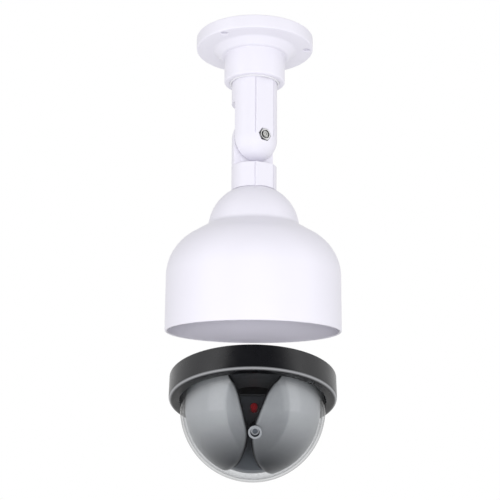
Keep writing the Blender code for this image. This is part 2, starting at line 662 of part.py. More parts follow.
def indicator(unit):
    """The red lamp, its board behind the panel, and what is soldered to the board."""
    forward = (math.pi / 2, 0, 0)
    bulb = [(0, 0.0076)] + arc((0, 0.0051), LED_RADIUS, math.pi / 2, 0, 5)[1:]
    bulb += [(LED_RADIUS, -0.0019), (0, -0.0019)]
    turned("led", bulb, RED, unit, (LED_X, 0, LED_HEIGHT), forward, steps=SMALL_ROUND)
    block("circuit_board", (-BOARD_HALF_WIDTH, 0.0022, -0.0170), (BOARD_HALF_WIDTH, 0.0038, 0.0015),
          BOARD, unit)
    block("flasher_chip", (-0.0050, 0.0041, -0.0130), (0.0030, 0.0060, -0.0080), BLACK, unit)
    rod("capacitor", 0.0025, -0.0115, -0.0041, DARK, unit, (0.0090, 0, -0.0060), forward,
        steps=16)
    rod("resistor", 0.0009, -0.0032, 0.0032, ("resistor", (0.55, 0.42, 0.25), 0.5), unit,
        (-0.0100, 0.0051, -0.0040), (0, math.pi / 2, 0), steps=TINY_ROUND)


# ---- battery box ----------------------------------------------------------------
def battery_box(unit, plate):
    low, high = BOX
    box = block("battery_box", (-BOX_HALF_LENGTH, -BOX_HALF_WIDTH, low),
                (BOX_HALF_LENGTH, BOX_HALF_WIDTH, high), BLACK, unit)
    inner_length = BOX_HALF_LENGTH - BOX_WALL
    inner_width = BOX_HALF_WIDTH - BOX_WALL
    hollow = block("box_hollow", (-inner_length, -inner_width, low + BOX_WALL),
                   (inner_length, inner_width, high + 0.005), None, unit)
    combine(box, hollow)
    for side in (-1, 1):
        outlet = rod(f"box_outlet_{side + 1}", 0.0010, -0.0035, 0.0035, None, unit,
                     (-BOX_HALF_LENGTH, side * CELL_Y, 0.0110), (0, math.pi / 2, 0),
                     steps=TINY_ROUND)
        combine(box, outlet)
        at = (side * 0.0220, 0, 0)
        for owner in (box, plate):
            hole = rod(f"{owner.name}_box_hole_{side + 1}", 0.0014, PLATE[0] - 0.001,
                       low + BOX_WALL + 0.001, None, unit, at, steps=TINY_ROUND)
            combine(owner, hole)
        seat = low + BOX_WALL + GAP
        pan_screw(f"box_screw_{(side + 3) // 2}", 0.0011, 0.0018, (seat, seat + 0.0012),
                  PLATE[0] + 0.0006, STEEL, unit, at)


def batteries(unit):
    """Two cells side by side, end for end, each with a spring behind it."""
    inside = BOX_HALF_LENGTH - BOX_WALL
    plate_thickness = 0.0005
    cell_end = inside - GAP - plate_thickness - GAP
    nub = 0.0010
    nub_radius = 0.0027
    spring_radius = 0.0030
    spring_wire = 0.00035
    turns = 3
    for index, side in enumerate((-1, 1)):
        along = (0, side * math.pi / -2, 0)
        at = (0, side * CELL_Y, CELL_HEIGHT)
        shoulder = cell_end - nub
        tail = cell_end - CELL_LENGTH
        outline = [(0, cell_end), (nub_radius, cell_end), (nub_radius, shoulder),
                   (CELL_RADIUS - 0.0005, shoulder), (CELL_RADIUS, shoulder - 0.0005),
                   (CELL_RADIUS, tail + 0.0005), (CELL_RADIUS - 0.0005, tail), (0, tail)]
        cell = ("cell", (0.10, 0.10, 0.11), 0.3, 0.6)
        turned(f"battery_{index + 1}", outline, cell, unit, at, along, steps=24)
        first = -(inside - GAP - plate_thickness - GAP - spring_wire)
        last = tail - GAP - spring_wire
        points = []
        for step in range(turns * 8 + 1):
            angle = step * math.tau / 8
            height = first + (last - first) * step / (turns * 8)
            flip = -side
            points.append((flip * height, at[1] + spring_radius * math.cos(angle),
                           CELL_HEIGHT + spring_radius * math.sin(angle)))
        wire(f"battery_spring_{index + 1}", points, spring_wire, STEEL, unit)
    end = inside - GAP
    low = BOX[0] + BOX_WALL + GAP
    for side in (-1, 1):
        middle = side * CELL_Y
        block(f"contact_{(side + 3) // 2}", (-end, middle - 0.0060, low),
              (-end + plate_thickness, middle + 0.0060, 0.0215), STEEL, unit)
    block("contact_bridge", (end - plate_thickness, -0.0140, low), (end, 0.0140, 0.0215), STEEL, unit)


def battery_door(door):
    low, high = DOOR
    plate = block("battery_door", (-BOX_HALF_LENGTH, -BOX_HALF_WIDTH, low),
                  (BOX_HALF_LENGTH, BOX_HALF_WIDTH, high), BLACK, door)
    for index in range(4):
        x = -0.0045 + index * 0.0030
        rib = block(f"door_rib_{index}", (x - 0.0005, -0.0070, high - 0.0005),
                    (x + 0.0005, 0.0070, high + 0.0007), None, door)
        combine(plate, rib, "UNION")


def wires(unit):
    """Two leads from the battery contacts, through the plate, to the board."""
    start = -BOX_HALF_LENGTH + BOX_WALL - 0.0002
    board_edge = -BOARD_HALF_WIDTH - 0.0009
    down_behind = [(-0.0335, 0.0069, 0.0005), (-0.0290, 0.0067, -0.0040),
                   (-0.0230, 0.0042, -0.0060), (board_edge, 0.0030, -0.0068)]
    round_the_side = [(-0.0370, -0.0060, 0.0010), (-0.0405, 0.0004, -0.0040),
                      (-0.0345, 0.0045, -0.0090), (-0.0230, 0.0022, -0.0100),
                      (board_edge, 0.0030, -0.0112)]
    for name, y, colour, onward in (("wire_red", CELL_Y, (0.6, 0.02, 0.02), down_behind),
                                    ("wire_black", -CELL_Y, (0.01, 0.01, 0.01), round_the_side)):
        through_plate = [(start, y, 0.0110), (-0.0320, y, 0.0108), (-0.0345, y, 0.0085),
                         (-0.0346, y, 0.0045)]
        wire(name, smooth(through_plate + onward, 3), LEAD_RADIUS, ("lead", colour, 0.4), unit)


# ---- assembly ---------------------------------------------------------------------
def shade_smooth():
    """Settle each piece's modifiers into its mesh, and shade its round faces smooth."""
    bpy.context.view_layer.update()
    graph = bpy.context.evaluated_depsgraph_get()
    pieces = [piece for piece in parts.objects if piece.type == "MESH"]
    meshes = [bpy.data.meshes.new_from_object(piece.evaluated_get(graph)) for piece in pieces]
    for piece, mesh in zip(pieces, meshes):
        mesh.shade_smooth()
        mesh.set_sharp_from_angle(angle=SHARP)
        piece.modifiers.clear()
        piece.data = mesh


elbow = empty("elbow_axis", (0, 0, PIVOT_Z), (0, 0, ARM_TURN))
pull = empty("pull_out_axis", (0, PULL_AXIS_Y, PULL_AXIS_Z), (-UNIT_TIP, 0, 0))
unit = empty("camera_unit", (0, -PULL_AXIS_Y, RIM_Z - PULL_AXIS_Z), parent=pull)
door = empty("battery_door_axis", (0, 0, 0), parent=unit)

ceiling_flange()
swivel()
upper_arm(elbow)
lower_arm(elbow)
elbow_fastening(elbow)
bell_housing(None)
ring = bezel_ring(unit)
dome = clear_dome(unit)
plate = base_plate(unit)
base_screws(unit, ring, dome, plate)
liner_halves(unit)
lens(unit)
panel, foot_low = led_panel(unit)
panel_screws(unit, panel, plate, foot_low)
indicator(unit)
battery_box(unit, plate)
batteries(unit)
battery_door(door)
wires(unit)
shade_smooth()
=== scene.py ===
"""The looks of the dome cctv camera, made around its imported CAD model.

Metres throughout. The origin is the centre of the flange's ceiling face, +Z points up
into the ceiling and -Y to the front. Each piece is modelled in the frame of the body
it belongs to: the flange and bell in the world's, the arms and the elbow's fastening in
the elbow's (-Y along the bolt), and the camera unit in its own (+Z up through the unit,
origin in the middle of the ring's underside).
"""

import json
import math

import bmesh
import bpy
from mathutils import Euler, Matrix, Vector


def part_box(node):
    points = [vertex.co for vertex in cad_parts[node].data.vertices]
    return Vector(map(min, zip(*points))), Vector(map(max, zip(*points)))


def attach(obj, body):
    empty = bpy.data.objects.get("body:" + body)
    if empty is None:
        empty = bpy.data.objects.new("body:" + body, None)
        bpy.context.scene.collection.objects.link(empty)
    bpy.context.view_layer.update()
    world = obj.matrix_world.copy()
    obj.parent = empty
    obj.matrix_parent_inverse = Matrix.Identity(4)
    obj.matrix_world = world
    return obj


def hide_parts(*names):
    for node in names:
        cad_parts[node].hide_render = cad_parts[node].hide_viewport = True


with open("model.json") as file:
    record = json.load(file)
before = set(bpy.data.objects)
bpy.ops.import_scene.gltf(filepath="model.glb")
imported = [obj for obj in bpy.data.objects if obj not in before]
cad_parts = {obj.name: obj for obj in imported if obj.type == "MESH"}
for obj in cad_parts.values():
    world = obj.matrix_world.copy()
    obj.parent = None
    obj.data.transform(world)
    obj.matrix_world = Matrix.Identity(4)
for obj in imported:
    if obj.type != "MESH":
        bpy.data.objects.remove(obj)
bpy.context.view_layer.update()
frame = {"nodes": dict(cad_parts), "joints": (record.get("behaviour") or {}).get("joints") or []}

# ---- dimensions (metres, radians), as the CAD model has them 
GAP = 0.0003                      # clearance between pieces that touch
FIT = 0.0001                      # and where the clearance would show as a dark line

FLANGE_RADIUS = 0.0425
FLANGE_FACE = -0.0095
FLANGE_RECESS = -0.0066
RECESS_INNER = 0.0145
RECESS_OUTER = 0.0330
FIXING_HOLE_RADIUS = 0.0024
FIXING_HOLE_CIRCLE = 0.0380
FIXING_HOLE_TURN = math.radians(-4.5)
BOSS_TOP_RADIUS = 0.0300
BOSS_BOTTOM_RADIUS = 0.0245
BOSS_BOTTOM = -0.0144
COLLAR_RADIUS = 0.0220
COLLAR_BOTTOM = -0.0347
COLLAR_BORE = 0.0182
WEB_TOP = -0.0142
WEB_BOTTOM = -0.0182
SCREW_POCKET = 0.0120
BUSH_STAND = 0.0005
SWIVEL_RADIUS = 0.0030

UPPER_RADIUS = 0.01645
LOWER_RADIUS = 0.01610
ARM_TOP = -0.0185
UPPER_SHOULDER = -0.0510
LOWER_SHOULDER = -0.0980
PAD_DEPTH = 0.0155
PAD_HALF_WIDTH = 0.0071
PAD_TOP = -0.0356
PAD_GROOVE_WIDTH = 0.0006
PAD_GROOVE_DEPTH = 0.0014         # below the pad, and about 0.6 mm below the arm's round side
LAP_HALF_GAP = 0.0005
BOLT_RADIUS = 0.0025
BOLT_HEAD_RADIUS = 0.0044
NUT_FLATS = 0.0080
NUT_HEIGHT = 0.0039
NUT_TURN = math.radians(5)
NUT_STAND = 0.0004

CAP_RADIUS = 0.0322
CAP_CENTRE = -0.1440
BELL_RADIUS = 0.0610
BELL_WALL = 0.0018
SHOULDER_ARC = 0.0340
SHOULDER_CENTRE = -0.1780
CONE_SLOPE = math.radians(31.3)
HUB = -0.1180
LEDGE = -0.1992
LEDGE_RADIUS = 0.0558
LEDGE_HEIGHT = 0.0020
HOUSING_SCREW_X = 0.0080
HOUSING_HOLE_RADIUS = 0.0023

RING_RADIUS = 0.0567
RING_HEIGHT = 0.0171
RING_WALL = 0.0021
RING_LIP = 0.0024
RING_OPENING = 0.0492
DOME_RADIUS = 0.0488
DOME_WALL = 0.0016
DOME_CENTRE = -0.0036
DOME_FLANGE = (0.0027, 0.0043)
PLATE_RADIUS = 0.0542
PLATE = (0.0046, 0.0071)
RECESS_RADIUS = 0.0155
RECESS_DEPTH = 0.0012
WIRE_HOLE = (-0.0365, -0.0325)
WIRE_HOLE_HALF_WIDTH = 0.0095
FOOT_SCREW = (0.0240, 0.0058)
LINER_RADIUS = 0.0453
LINER_WALL = 0.0012
PINCH_ANGLE = math.radians(42)
SLOT_LEAN = math.radians(4)
LENS_ANGLE = math.radians(40.5)
LENS_X = 0.0014
LENS_RING_RADIUS = 0.0044
LENS_RADIUS = 0.0034
PANEL_HALF_THICKNESS = 0.0010
LED_X = 0.0008
LED_HEIGHT = -0.0046
LED_RADIUS = 0.0025
BASE_SCREW_CIRCLE = 0.0519
BASE_SCREW_RADIUS = 0.0012
CELL_RADIUS = 0.00725
CELL_LENGTH = 0.0505
CELL_Y = 0.0077
CELL_HEIGHT = 0.0165
BOX_HALF_LENGTH = 0.0300
BOX_HALF_WIDTH = 0.0168
BOX = (0.0074, 0.0240)
BOX_WALL = 0.0015
BOX_SCREW_X = 0.0220
BOX_HOLE_RADIUS = 0.0014
DOOR = (0.0243, 0.0258)

ROUND = 160                       # facets of the large turned pieces
SMALL_ROUND = 64                  # facets of screws and other small ones
REACH = 0.030                     # how far the arms' cutters run past them
ARM_VOXEL = 0.00034               # the arms' soft edges are made on a grid this fine,
ARM_ROUNDS = 3                    # smoothed this many times
CURL_WIDTH = 0.0050               # the liner's edges curl in over this width
CURL_DEPTH = 0.0026
CUT_FACE = 0.45                   # a liner face this far from square to the sphere is a cut edge
EDGE_SHEEN = 0.0009               # the painted highlight on the ring's edge is palest this high above its underside

# ---- the frames that the pieces are modelled in ----------
joints = {joint["name"]: joint for joint in frame["joints"]}
bolt_axis = joints["elbow_tilt"]["axis"]
PIVOT = Vector(joints["elbow_tilt"]["pos_m"])
ARM_TURN = math.atan2(bolt_axis[0], -bolt_axis[1])
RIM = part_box("bell_housing")[0].z
pull = joints["camera_pull_out"]
pull_axis = Vector(pull["pos_m"])
tip = Matrix.Rotation(-math.radians(pull["range_deg"][1]), 4, Vector(pull["axis"]))

WORLD = Matrix.Identity(4)
ELBOW = Matrix.Translation(PIVOT) @ Matrix.Rotation(ARM_TURN, 4, "Z")
UNIT = Matrix.Translation(pull_axis) @ tip @ Matrix.Translation(Vector((0, 0, RIM)) - pull_axis)


def at(x, y, z):
    return Matrix.Translation((x, y, z))


def rotated(x, y=0.0, z=0.0):
    return Euler((x, y, z)).to_matrix().to_4x4()


FORWARD = rotated(math.pi / 2)                # +Z turned to -Y
FLIP = rotated(math.pi)                       # +Z turned to -Z
LENS_OUT = rotated(math.pi / 2 + LENS_ANGLE)  # +Z turned to the lens's axis


# ---- mesh work -------------------------------------------
def arc(centre, radius, start, end, count):
    """Points on a circle in (radius, height), from one angle to the other."""
    points = []
    for i in range(count + 1):
        angle = start + (end - start) * i / count
        points.append((centre[0] + radius * math.cos(angle), centre[1] + radius * math.sin(angle)))
    return points


def soften(outline, segments=6):
    """Round the corners of an outline whose points are (radius, height, reach).

    The curve starts at that reach along the outline on either side of the corner, and
    a point without a reach stays as it is.
    """
    points = [point[:2] for point in outline]
    count = len(points)
    passed = set()
    curves = {}
    for i, corner in enumerate(outline):
        if len(corner) < 3:
            continue
        ends = []
        for step in (-1, 1):
            here = i
            left = corner[2]
            ahead = (here + step) % count
            while math.dist(points[here], points[ahead]) <= left:
                left -= math.dist(points[here], points[ahead])
                passed.add(ahead)
                here = ahead
                ahead = (here + step) % count
            share = left / math.dist(points[here], points[ahead])
            ends.append([a + (b - a) * share for a, b in zip(points[here], points[ahead])])
        curves[i] = ends
    made = []
    for i, point in enumerate(points):
        if i in curves:
            first, last = curves[i]
            for step in range(segments + 1):
                t = step / segments
                made.append(tuple((1 - t) ** 2 * a + 2 * t * (1 - t) * b + t * t * c
                                  for a, b, c in zip(first, point, last)))
        elif i not in passed:
            made.append(point)
    return made


def piece_of(name, body, smooth_angle=35):
    """An object from a bmesh, with smooth shading that breaks at sharp edges."""
    mesh = bpy.data.meshes.new(name)
    body.to_mesh(mesh)
    body.free()
    mesh.shade_smooth()
    mesh.set_sharp_from_angle(angle=math.radians(smooth_angle))
    made = bpy.data.objects.new(name, mesh)
    bpy.context.scene.collection.objects.link(made)
    return made


def turned(name, outline, closed=False, steps=ROUND):
    """Turn an outline about Z; it runs down the outer side. Closed joins its ends."""
    body = bmesh.new()
    rings = []
    for radius, height in soften(outline):
        if radius < 0.000001:
            rings.append([body.verts.new((0, 0, height))])
            continue
        angles = [math.tau * i / steps for i in range(steps)]
        rings.append([body.verts.new((radius * math.cos(a), radius * math.sin(a), height))
                      for a in angles])
    for above, below in zip(rings, rings[1:] + rings[:1] if closed else rings[1:]):
        for i in range(steps):
            j = (i + 1) % steps
            corners = [above[i % len(above)], below[i % len(below)],
                       below[j % len(below)], above[j % len(above)]]
            corners = list(dict.fromkeys(corners))
            if len(corners) > 2:
                body.faces.new(corners)
    return piece_of(name, body)


def rod(name, radius, low, high, edge=0.0, steps=SMALL_ROUND):
    """A round bar along Z, its ends' edges softened by edge."""
    corner = (edge,) if edge else ()
    return turned(name, [(0, high), (radius, high, *corner), (radius, low, *corner), (0, low)],
                  steps=steps)


def sleeve(name, bore, radius, low, high, edge, steps=SMALL_ROUND):
    """A ring or washer along Z with softened edges."""
    outline = [(radius, high, edge), (radius, low, edge), (bore, low, edge), (bore, high, edge)]
    return turned(name, outline, closed=True, steps=steps)


def block(name, low, high, edge=0.0, segments=3):
    """A box between two corners, its edges rounded by edge."""
    body = bmesh.new()
    bmesh.ops.create_cube(body, size=1.0)
    for vertex in body.verts:
        for axis in range(3):
            middle = (low[axis] + high[axis]) / 2
            vertex.co[axis] = middle + vertex.co[axis] * (high[axis] - low[axis])
    if edge:
        bmesh.ops.bevel(body, geom=body.edges[:], offset=edge, segments=segments,
                        profile=0.5, affect="EDGES")
    return piece_of(name, body)


def slab(name, points, thickness):
    """A flat outline in XY, as thick as given, centred on z = 0."""
    body = bmesh.new()
    bottom = [body.verts.new((x, y, -thickness / 2)) for x, y in points]
    top = [body.verts.new((x, y, thickness / 2)) for x, y in points]
    body.faces.new(bottom)
    body.faces.new(top)
    for i in range(len(points)):
        j = (i + 1) % len(points)
        body.faces.new((bottom[i], bottom[j], top[j], top[i]))
    bmesh.ops.recalc_face_normals(body, faces=body.faces[:])
    return piece_of(name, body)


def moved(piece, matrix):
    """Put a piece in its place by moving its mesh."""
    piece.data.transform(matrix)
    return piece


def settle(piece, smooth_angle=35):
    """Swap a piece's mesh for what its modifiers make of it."""
    graph = bpy.context.evaluated_depsgraph_get()
    mesh = bpy.data.meshes.new_from_object(piece.evaluated_get(graph))
    piece.modifiers.clear()
    piece.data = mesh
    mesh.shade_smooth()
    mesh.set_sharp_from_angle(angle=math.radians(smooth_angle))
    return piece


def combine(piece, others, operation="DIFFERENCE"):
    """Cut, join or keep a piece by other solids, which are used up."""
    for other in others:
        boolean = piece.modifiers.new("combine", "BOOLEAN")
        boolean.operation = operation
        boolean.object = other
        boolean.solver = "MANIFOLD"
    settle(piece)
    for other in others:
        bpy.data.objects.remove(other)
    return piece


def mould(piece, voxel, rounds):
    """Give a sharp-edged solid the small soft edges that a moulding has."""
    remesh = piece.modifiers.new("remesh", "REMESH")
    remesh.mode = "VOXEL"
    remesh.voxel_size = voxel
    smooth = piece.modifiers.new("smooth", "SMOOTH")
    smooth.factor = 0.5
    smooth.iterations = rounds
    return settle(piece, 60)


def round_edges(piece, width, least_angle):
    """Bevel the edges that turn by more than an angle in degrees."""
    bevel = piece.modifiers.new("edges", "BEVEL")
    bevel.width = width
    bevel.segments = 2
    bevel.angle_limit = math.radians(least_angle)


def measure(piece, name, distance_of):
    """Write a distance for each point of a piece, which its material reads by name."""
    values = piece.data.attributes.new(name, "FLOAT", "POINT").data
    for vertex, value in zip(piece.data.vertices, values):
        value.value = distance_of(vertex.co)


def paint(piece, *finishes):
    piece.data.materials.clear()
    for finish in finishes:
        piece.data.materials.append(finish)


def install(piece, matrix, body, slot, finish, *nodes):
    """Give a piece its place, body and material, and hide the CAD nodes it stands for; slot is not
    used.
    """
    moved(piece, matrix.to_3x3().to_4x4())
    piece.location = matrix.translation
    if finish:
        paint(piece, finish)
    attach(piece, body)
    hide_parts(*nodes)
    return piece


# ---- materials -------------------------------------------
def add(tree, kind, inputs=None, **settings):
    """A node with its settings and its unlinked inputs."""
    node = tree.nodes.new(kind)
    for key, value in settings.items():
        setattr(node, key, value)
    for key, value in (inputs or {}).items():
        node.inputs[key].default_value = value
    return node


def mapped(tree, where, **settings):
    """Coordinates scaled or rotated."""
    node = add(tree, "ShaderNodeMapping", settings)
    tree.links.new(where, node.inputs["Vector"])
    return node.outputs["Vector"]


def axes_of(tree, vector):
    """The X, Y and Z of a vector."""
    node = add(tree, "ShaderNodeSeparateXYZ")
    tree.links.new(vector, node.inputs[0])
    return node.outputs


def maths(tree, operation, first, second=None):
    """The result of a Math node on sockets or numbers."""
    node = add(tree, "ShaderNodeMath", operation=operation)
    for socket, value in zip(node.inputs, (first, second)):
        if isinstance(value, bpy.types.NodeSocket):
            tree.links.new(value, socket)
        elif value is not None:
            socket.default_value = value
    return node.outputs[0]


def noise(tree, where, scale, detail=3.0, stretch=None):
    """Noise over the piece's own coordinates, or over them stretched by axis."""
    if stretch:
        where = mapped(tree, where, Scale=stretch)
    node = add(tree, "ShaderNodeTexNoise", {"Scale": scale, "Detail": detail})
    tree.links.new(where, node.inputs["Vector"])
    return node.outputs["Fac"]


def spread(tree, value, low, high, to_low, to_high):
    """Map a value from one range to another."""
    node = add(tree, "ShaderNodeMapRange", {"From Min": low, "From Max": high,
                                            "To Min": to_low, "To Max": to_high})
    tree.links.new(value, node.inputs["Value"])
    return node.outputs["Result"]


def blend_colour(tree, factor, first, second):
    """Two colours, or colour sockets, mixed by a factor."""
    node = add(tree, "ShaderNodeMix", data_type="RGBA")
    tree.links.new(factor, node.inputs["Factor"])
    for socket, colour in ((node.inputs["A"], first), (node.inputs["B"], second)):
        if isinstance(colour, bpy.types.NodeSocket):
            tree.links.new(colour, socket)
        else:
            socket.default_value = (*colour, 1.0)
    return node.outputs["Result"]


def relief(tree, height, distance, under=None):
    """A bump of the given height in metres."""
    node = add(tree, "ShaderNodeBump", {"Distance": distance})
    tree.links.new(height, node.inputs["Height"])
    if under:
        tree.links.new(under, node.inputs["Normal"])
    return node.outputs["Normal"]


def started(name, **uniform):
    """A new material with its uniform values set; returns it, its tree, shader and place."""
    made = bpy.data.materials.new(name)
    made.use_nodes = True
    tree = made.node_tree
    shader = tree.nodes["Principled BSDF"]
    for key, value in uniform.items():
        shader.inputs[key.replace("_", " ")].default_value = value
    where = add(tree, "ShaderNodeTexCoord").outputs["Object"]
    return made, tree, shader, where


def dress(tree, shader, colour, roughness=None, normal=None):
    """Link a shader's colour, and its roughness and normal where they are given."""
    for name, source in (("Base Color", colour), ("Roughness", roughness), ("Normal", normal)):
        if source is not None:
            tree.links.new(source, shader.inputs[name])


def moulded(name, colour, roughness, mottle=0.03, grain=0.00002, ripple=0.00001, **uniform):
    """Moulded plastic: faint flow marks in its colour and gloss, and a fine skin texture."""
    made, tree, shader, where = started(name, **uniform)
    flow = noise(tree, where, 45, 4)
    darker = tuple(c * (1 - mottle) for c in colour)
    lighter = tuple(min(1.0, c * (1 + mottle)) for c in colour)
    patches = noise(tree, where, 160, 3)
    waves = relief(tree, noise(tree, where, 110, 1), ripple)
    dress(tree, shader, blend_colour(tree, flow, darker, lighter),
          spread(tree, patches, 0.3, 0.7, roughness - 0.04, roughness + 0.04),
          relief(tree, noise(tree, where, 1800, 2), grain, waves))
    return made


def silver_paint():
    """Sprayed silver flake, with painted shade that darkens it towards the bottom and a painted dark
    border of shade along the slot.
    """
    made, tree, shader, where = started("silver_paint", Metallic=0.25, Specular_IOR_Level=0.15)
    flakes = add(tree, "ShaderNodeTexVoronoi", {"Scale": 4200.0})
    tree.links.new(where, flakes.inputs["Vector"])
    fleck = add(tree, "ShaderNodeSeparateColor")
    tree.links.new(flakes.outputs["Color"], fleck.inputs["Color"])
    clouds = noise(tree, where, 70, 3)
    base = blend_colour(tree, clouds, (0.34, 0.35, 0.365), (0.39, 0.40, 0.415))
    tone = blend_colour(tree, spread(tree, fleck.outputs["Red"], 0, 1, 0, 0.3), base,
                        (0.62, 0.63, 0.65))
    # painted shade: the paint darkens towards the bottom of the liner
    shade_below = spread(tree, axes_of(tree, where)["Z"], -0.008, -0.040, 0, 0.88)
    shaded_tone = blend_colour(tree, shade_below, tone, (0.040, 0.042, 0.046))
    # painted shade: a near-black border along the slot's edges
    from_slot = add(tree, "ShaderNodeAttribute", attribute_name="slot_distance").outputs["Fac"]
    slot_shade = spread(tree, from_slot, 0.0006, 0.0020, 1, 0)
    dress(tree, shader, blend_colour(tree, slot_shade, shaded_tone, (0.010, 0.010, 0.012)),
          spread(tree, fleck.outputs["Green"], 0, 1, 0.30, 0.42),
          relief(tree, noise(tree, where, 900, 2), 0.000004))
    return made


def clear_plastic():
    """Polished clear acrylic: see-through face on, and mirror-like along its edges."""
    made, tree, shader, where = started("clear_plastic", Base_Color=(1, 1, 1, 1), Metallic=1.0)
    haze = noise(tree, where, 260, 4)
    tree.links.new(spread(tree, haze, 0.3, 0.7, 0.015, 0.045), shader.inputs["Roughness"])
    tree.links.new(relief(tree, noise(tree, where, 28, 1), 0.00002), shader.inputs["Normal"])
    facing = add(tree, "ShaderNodeLayerWeight", {"Blend": 0.5}).outputs["Facing"]
    mirror = spread(tree, maths(tree, "POWER", facing, 7.0), 0, 1, 0.045, 0.70)
    through = add(tree, "ShaderNodeBsdfTransparent")
    edge = maths(tree, "POWER", facing, 6.0)
    tint = blend_colour(tree, edge, (0.965, 0.97, 0.975), (0.12, 0.125, 0.135))
    tree.links.new(tint, through.inputs["Color"])
    mix = add(tree, "ShaderNodeMixShader")
    tree.links.new(mirror, mix.inputs[0])
    tree.links.new(through.outputs[0], mix.inputs[1])
    tree.links.new(shader.outputs[0], mix.inputs[2])
    tree.links.new(mix.outputs[0], tree.nodes["Material Output"].inputs["Surface"])
    return made


def black_with_painted_highlight():
    """The ring's black plastic, with a highlight painted along its rounded lower edge."""
    made, tree, shader, where = started("ring_black")
    height = axes_of(tree, mapped(tree, where, Rotation=(-UNIT.to_euler().x, 0, 0)))["Z"]
    # painted highlight: a pale band along the ring's rounded lower edge
    above = spread(tree, height, EDGE_SHEEN - 0.0008, EDGE_SHEEN, 0, 1)
    below = spread(tree, height, EDGE_SHEEN, EDGE_SHEEN + 0.0011, 1, 0)
    sheen = maths(tree, "MULTIPLY", above, below)
    flow = noise(tree, where, 45, 4)
    black = blend_colour(tree, flow, (0.0055, 0.0056, 0.0075), (0.0080, 0.0082, 0.0105))
    dress(tree, shader, blend_colour(tree, sheen, black, (0.34, 0.345, 0.36)),
          spread(tree, noise(tree, where, 160), 0.3, 0.7, 0.26, 0.34),
          relief(tree, noise(tree, where, 1800, 2), 0.000006))
    return made


def metal(name, colour, rough_low, rough_high, stretch=(1, 1, 12)):
    """Plated metal: fine drawn scratches and a cloudy plating."""
    made, tree, shader, where = started(name, Metallic=1.0)
    clouds = noise(tree, where, 500, 4)
    dull = tuple(c * 0.8 for c in colour)
    scratches = noise(tree, where, 2500, 2, stretch)
    dress(tree, shader, blend_colour(tree, clouds, dull, colour),
          spread(tree, scratches, 0.3, 0.7, rough_low, rough_high),
          relief(tree, scratches, 0.00001))
    return made


def circuit_green():
    """Solder mask over copper tracks."""
    made, tree, shader, where = started("board_green", Coat_Weight=0.5, Coat_Roughness=0.15)
    across = mapped(tree, where, Rotation=(math.pi / 2 - 0.3, 0, 0))
    tracks = add(tree, "ShaderNodeTexBrick", {"Scale": 240.0, "Mortar Size": 0.12,
                                              "Color1": (0.02, 0.16, 0.07, 1),
                                              "Color2": (0.03, 0.19, 0.08, 1),
                                              "Mortar": (0.06, 0.30, 0.12, 1)})
    tree.links.new(across, tracks.inputs["Vector"])
    dress(tree, shader, tracks.outputs["Color"],
          spread(tree, noise(tree, where, 900), 0.3, 0.7, 0.25, 0.4),
          relief(tree, tracks.outputs["Fac"], 0.00004))
    return made


def banded(name, ground, band, axis, edge, roughness, metallic=0.0):
    """A body of one colour whose ends, beyond edge along an axis, are another."""
    made, tree, shader, where = started(name, Metallic=metallic)
    distance = maths(tree, "ABSOLUTE", axes_of(tree, where)[axis])
    beyond = spread(tree, distance, edge, edge + 0.0001, 0, 1)
    speckle = noise(tree, where, 700, 3)
    ground_tone = blend_colour(tree, speckle, tuple(c * 0.85 for c in ground), ground)
    dress(tree, shader, blend_colour(tree, beyond, ground_tone, band),
          spread(tree, speckle, 0.3, 0.7, roughness - 0.05, roughness + 0.05))
    return made


def glass_with_painted_reflection():
    """Dark lens glass with a painted reflection, a pale ring, inside it; distances are shares of its
    radius.
    """
    made, tree, shader, where = started("lens_glass", Coat_Weight=1.0, Coat_Roughness=0.03)
    from_axis = add(tree, "ShaderNodeAttribute", attribute_name="axis_distance").outputs["Fac"]
    # painted reflection: a pale ring in the glass
    inside = spread(tree, from_axis, 0.50, 0.66, 0, 1)
    outside = spread(tree, from_axis, 0.74, 0.86, 1, 0)
    ring = maths(tree, "MULTIPLY", inside, outside)
    cloud = noise(tree, where, 500, 2)
    dark = blend_colour(tree, cloud, (0.10, 0.11, 0.13), (0.15, 0.16, 0.18))
    dress(tree, shader, blend_colour(tree, ring, dark, (0.62, 0.63, 0.66)),
          spread(tree, cloud, 0.3, 0.7, 0.04, 0.09))
    return made


def red_lens():
    """The lamp's red epoxy, faintly lit from inside."""
    made, tree, shader, where = started("red_led", Roughness=0.08, Coat_Weight=1.0,
                                        Coat_Roughness=0.03, Emission_Strength=0.06,
                                        Emission_Color=(1.0, 0.08, 0.10, 1.0))
    cloud = noise(tree, where, 600, 2)
    dress(tree, shader, blend_colour(tree, cloud, (0.36, 0.010, 0.016), (0.50, 0.018, 0.026)))
    return made


WHITE = moulded("white_plastic", (0.80, 0.785, 0.865), 0.36, mottle=0.012)
NYLON = moulded("nylon", (0.84, 0.835, 0.87), 0.46, mottle=0.02)
BLACK = moulded("black_plastic", (0.006, 0.006, 0.0075), 0.30, mottle=0.15, grain=0.000006,
                ripple=0.000003)
RING_BLACK = black_with_painted_highlight()
DARK = moulded("dark_plastic", (0.085, 0.088, 0.094), 0.34, mottle=0.15)
PANEL = moulded("panel_plastic", (0.12, 0.13, 0.145), 0.42, mottle=0.15)
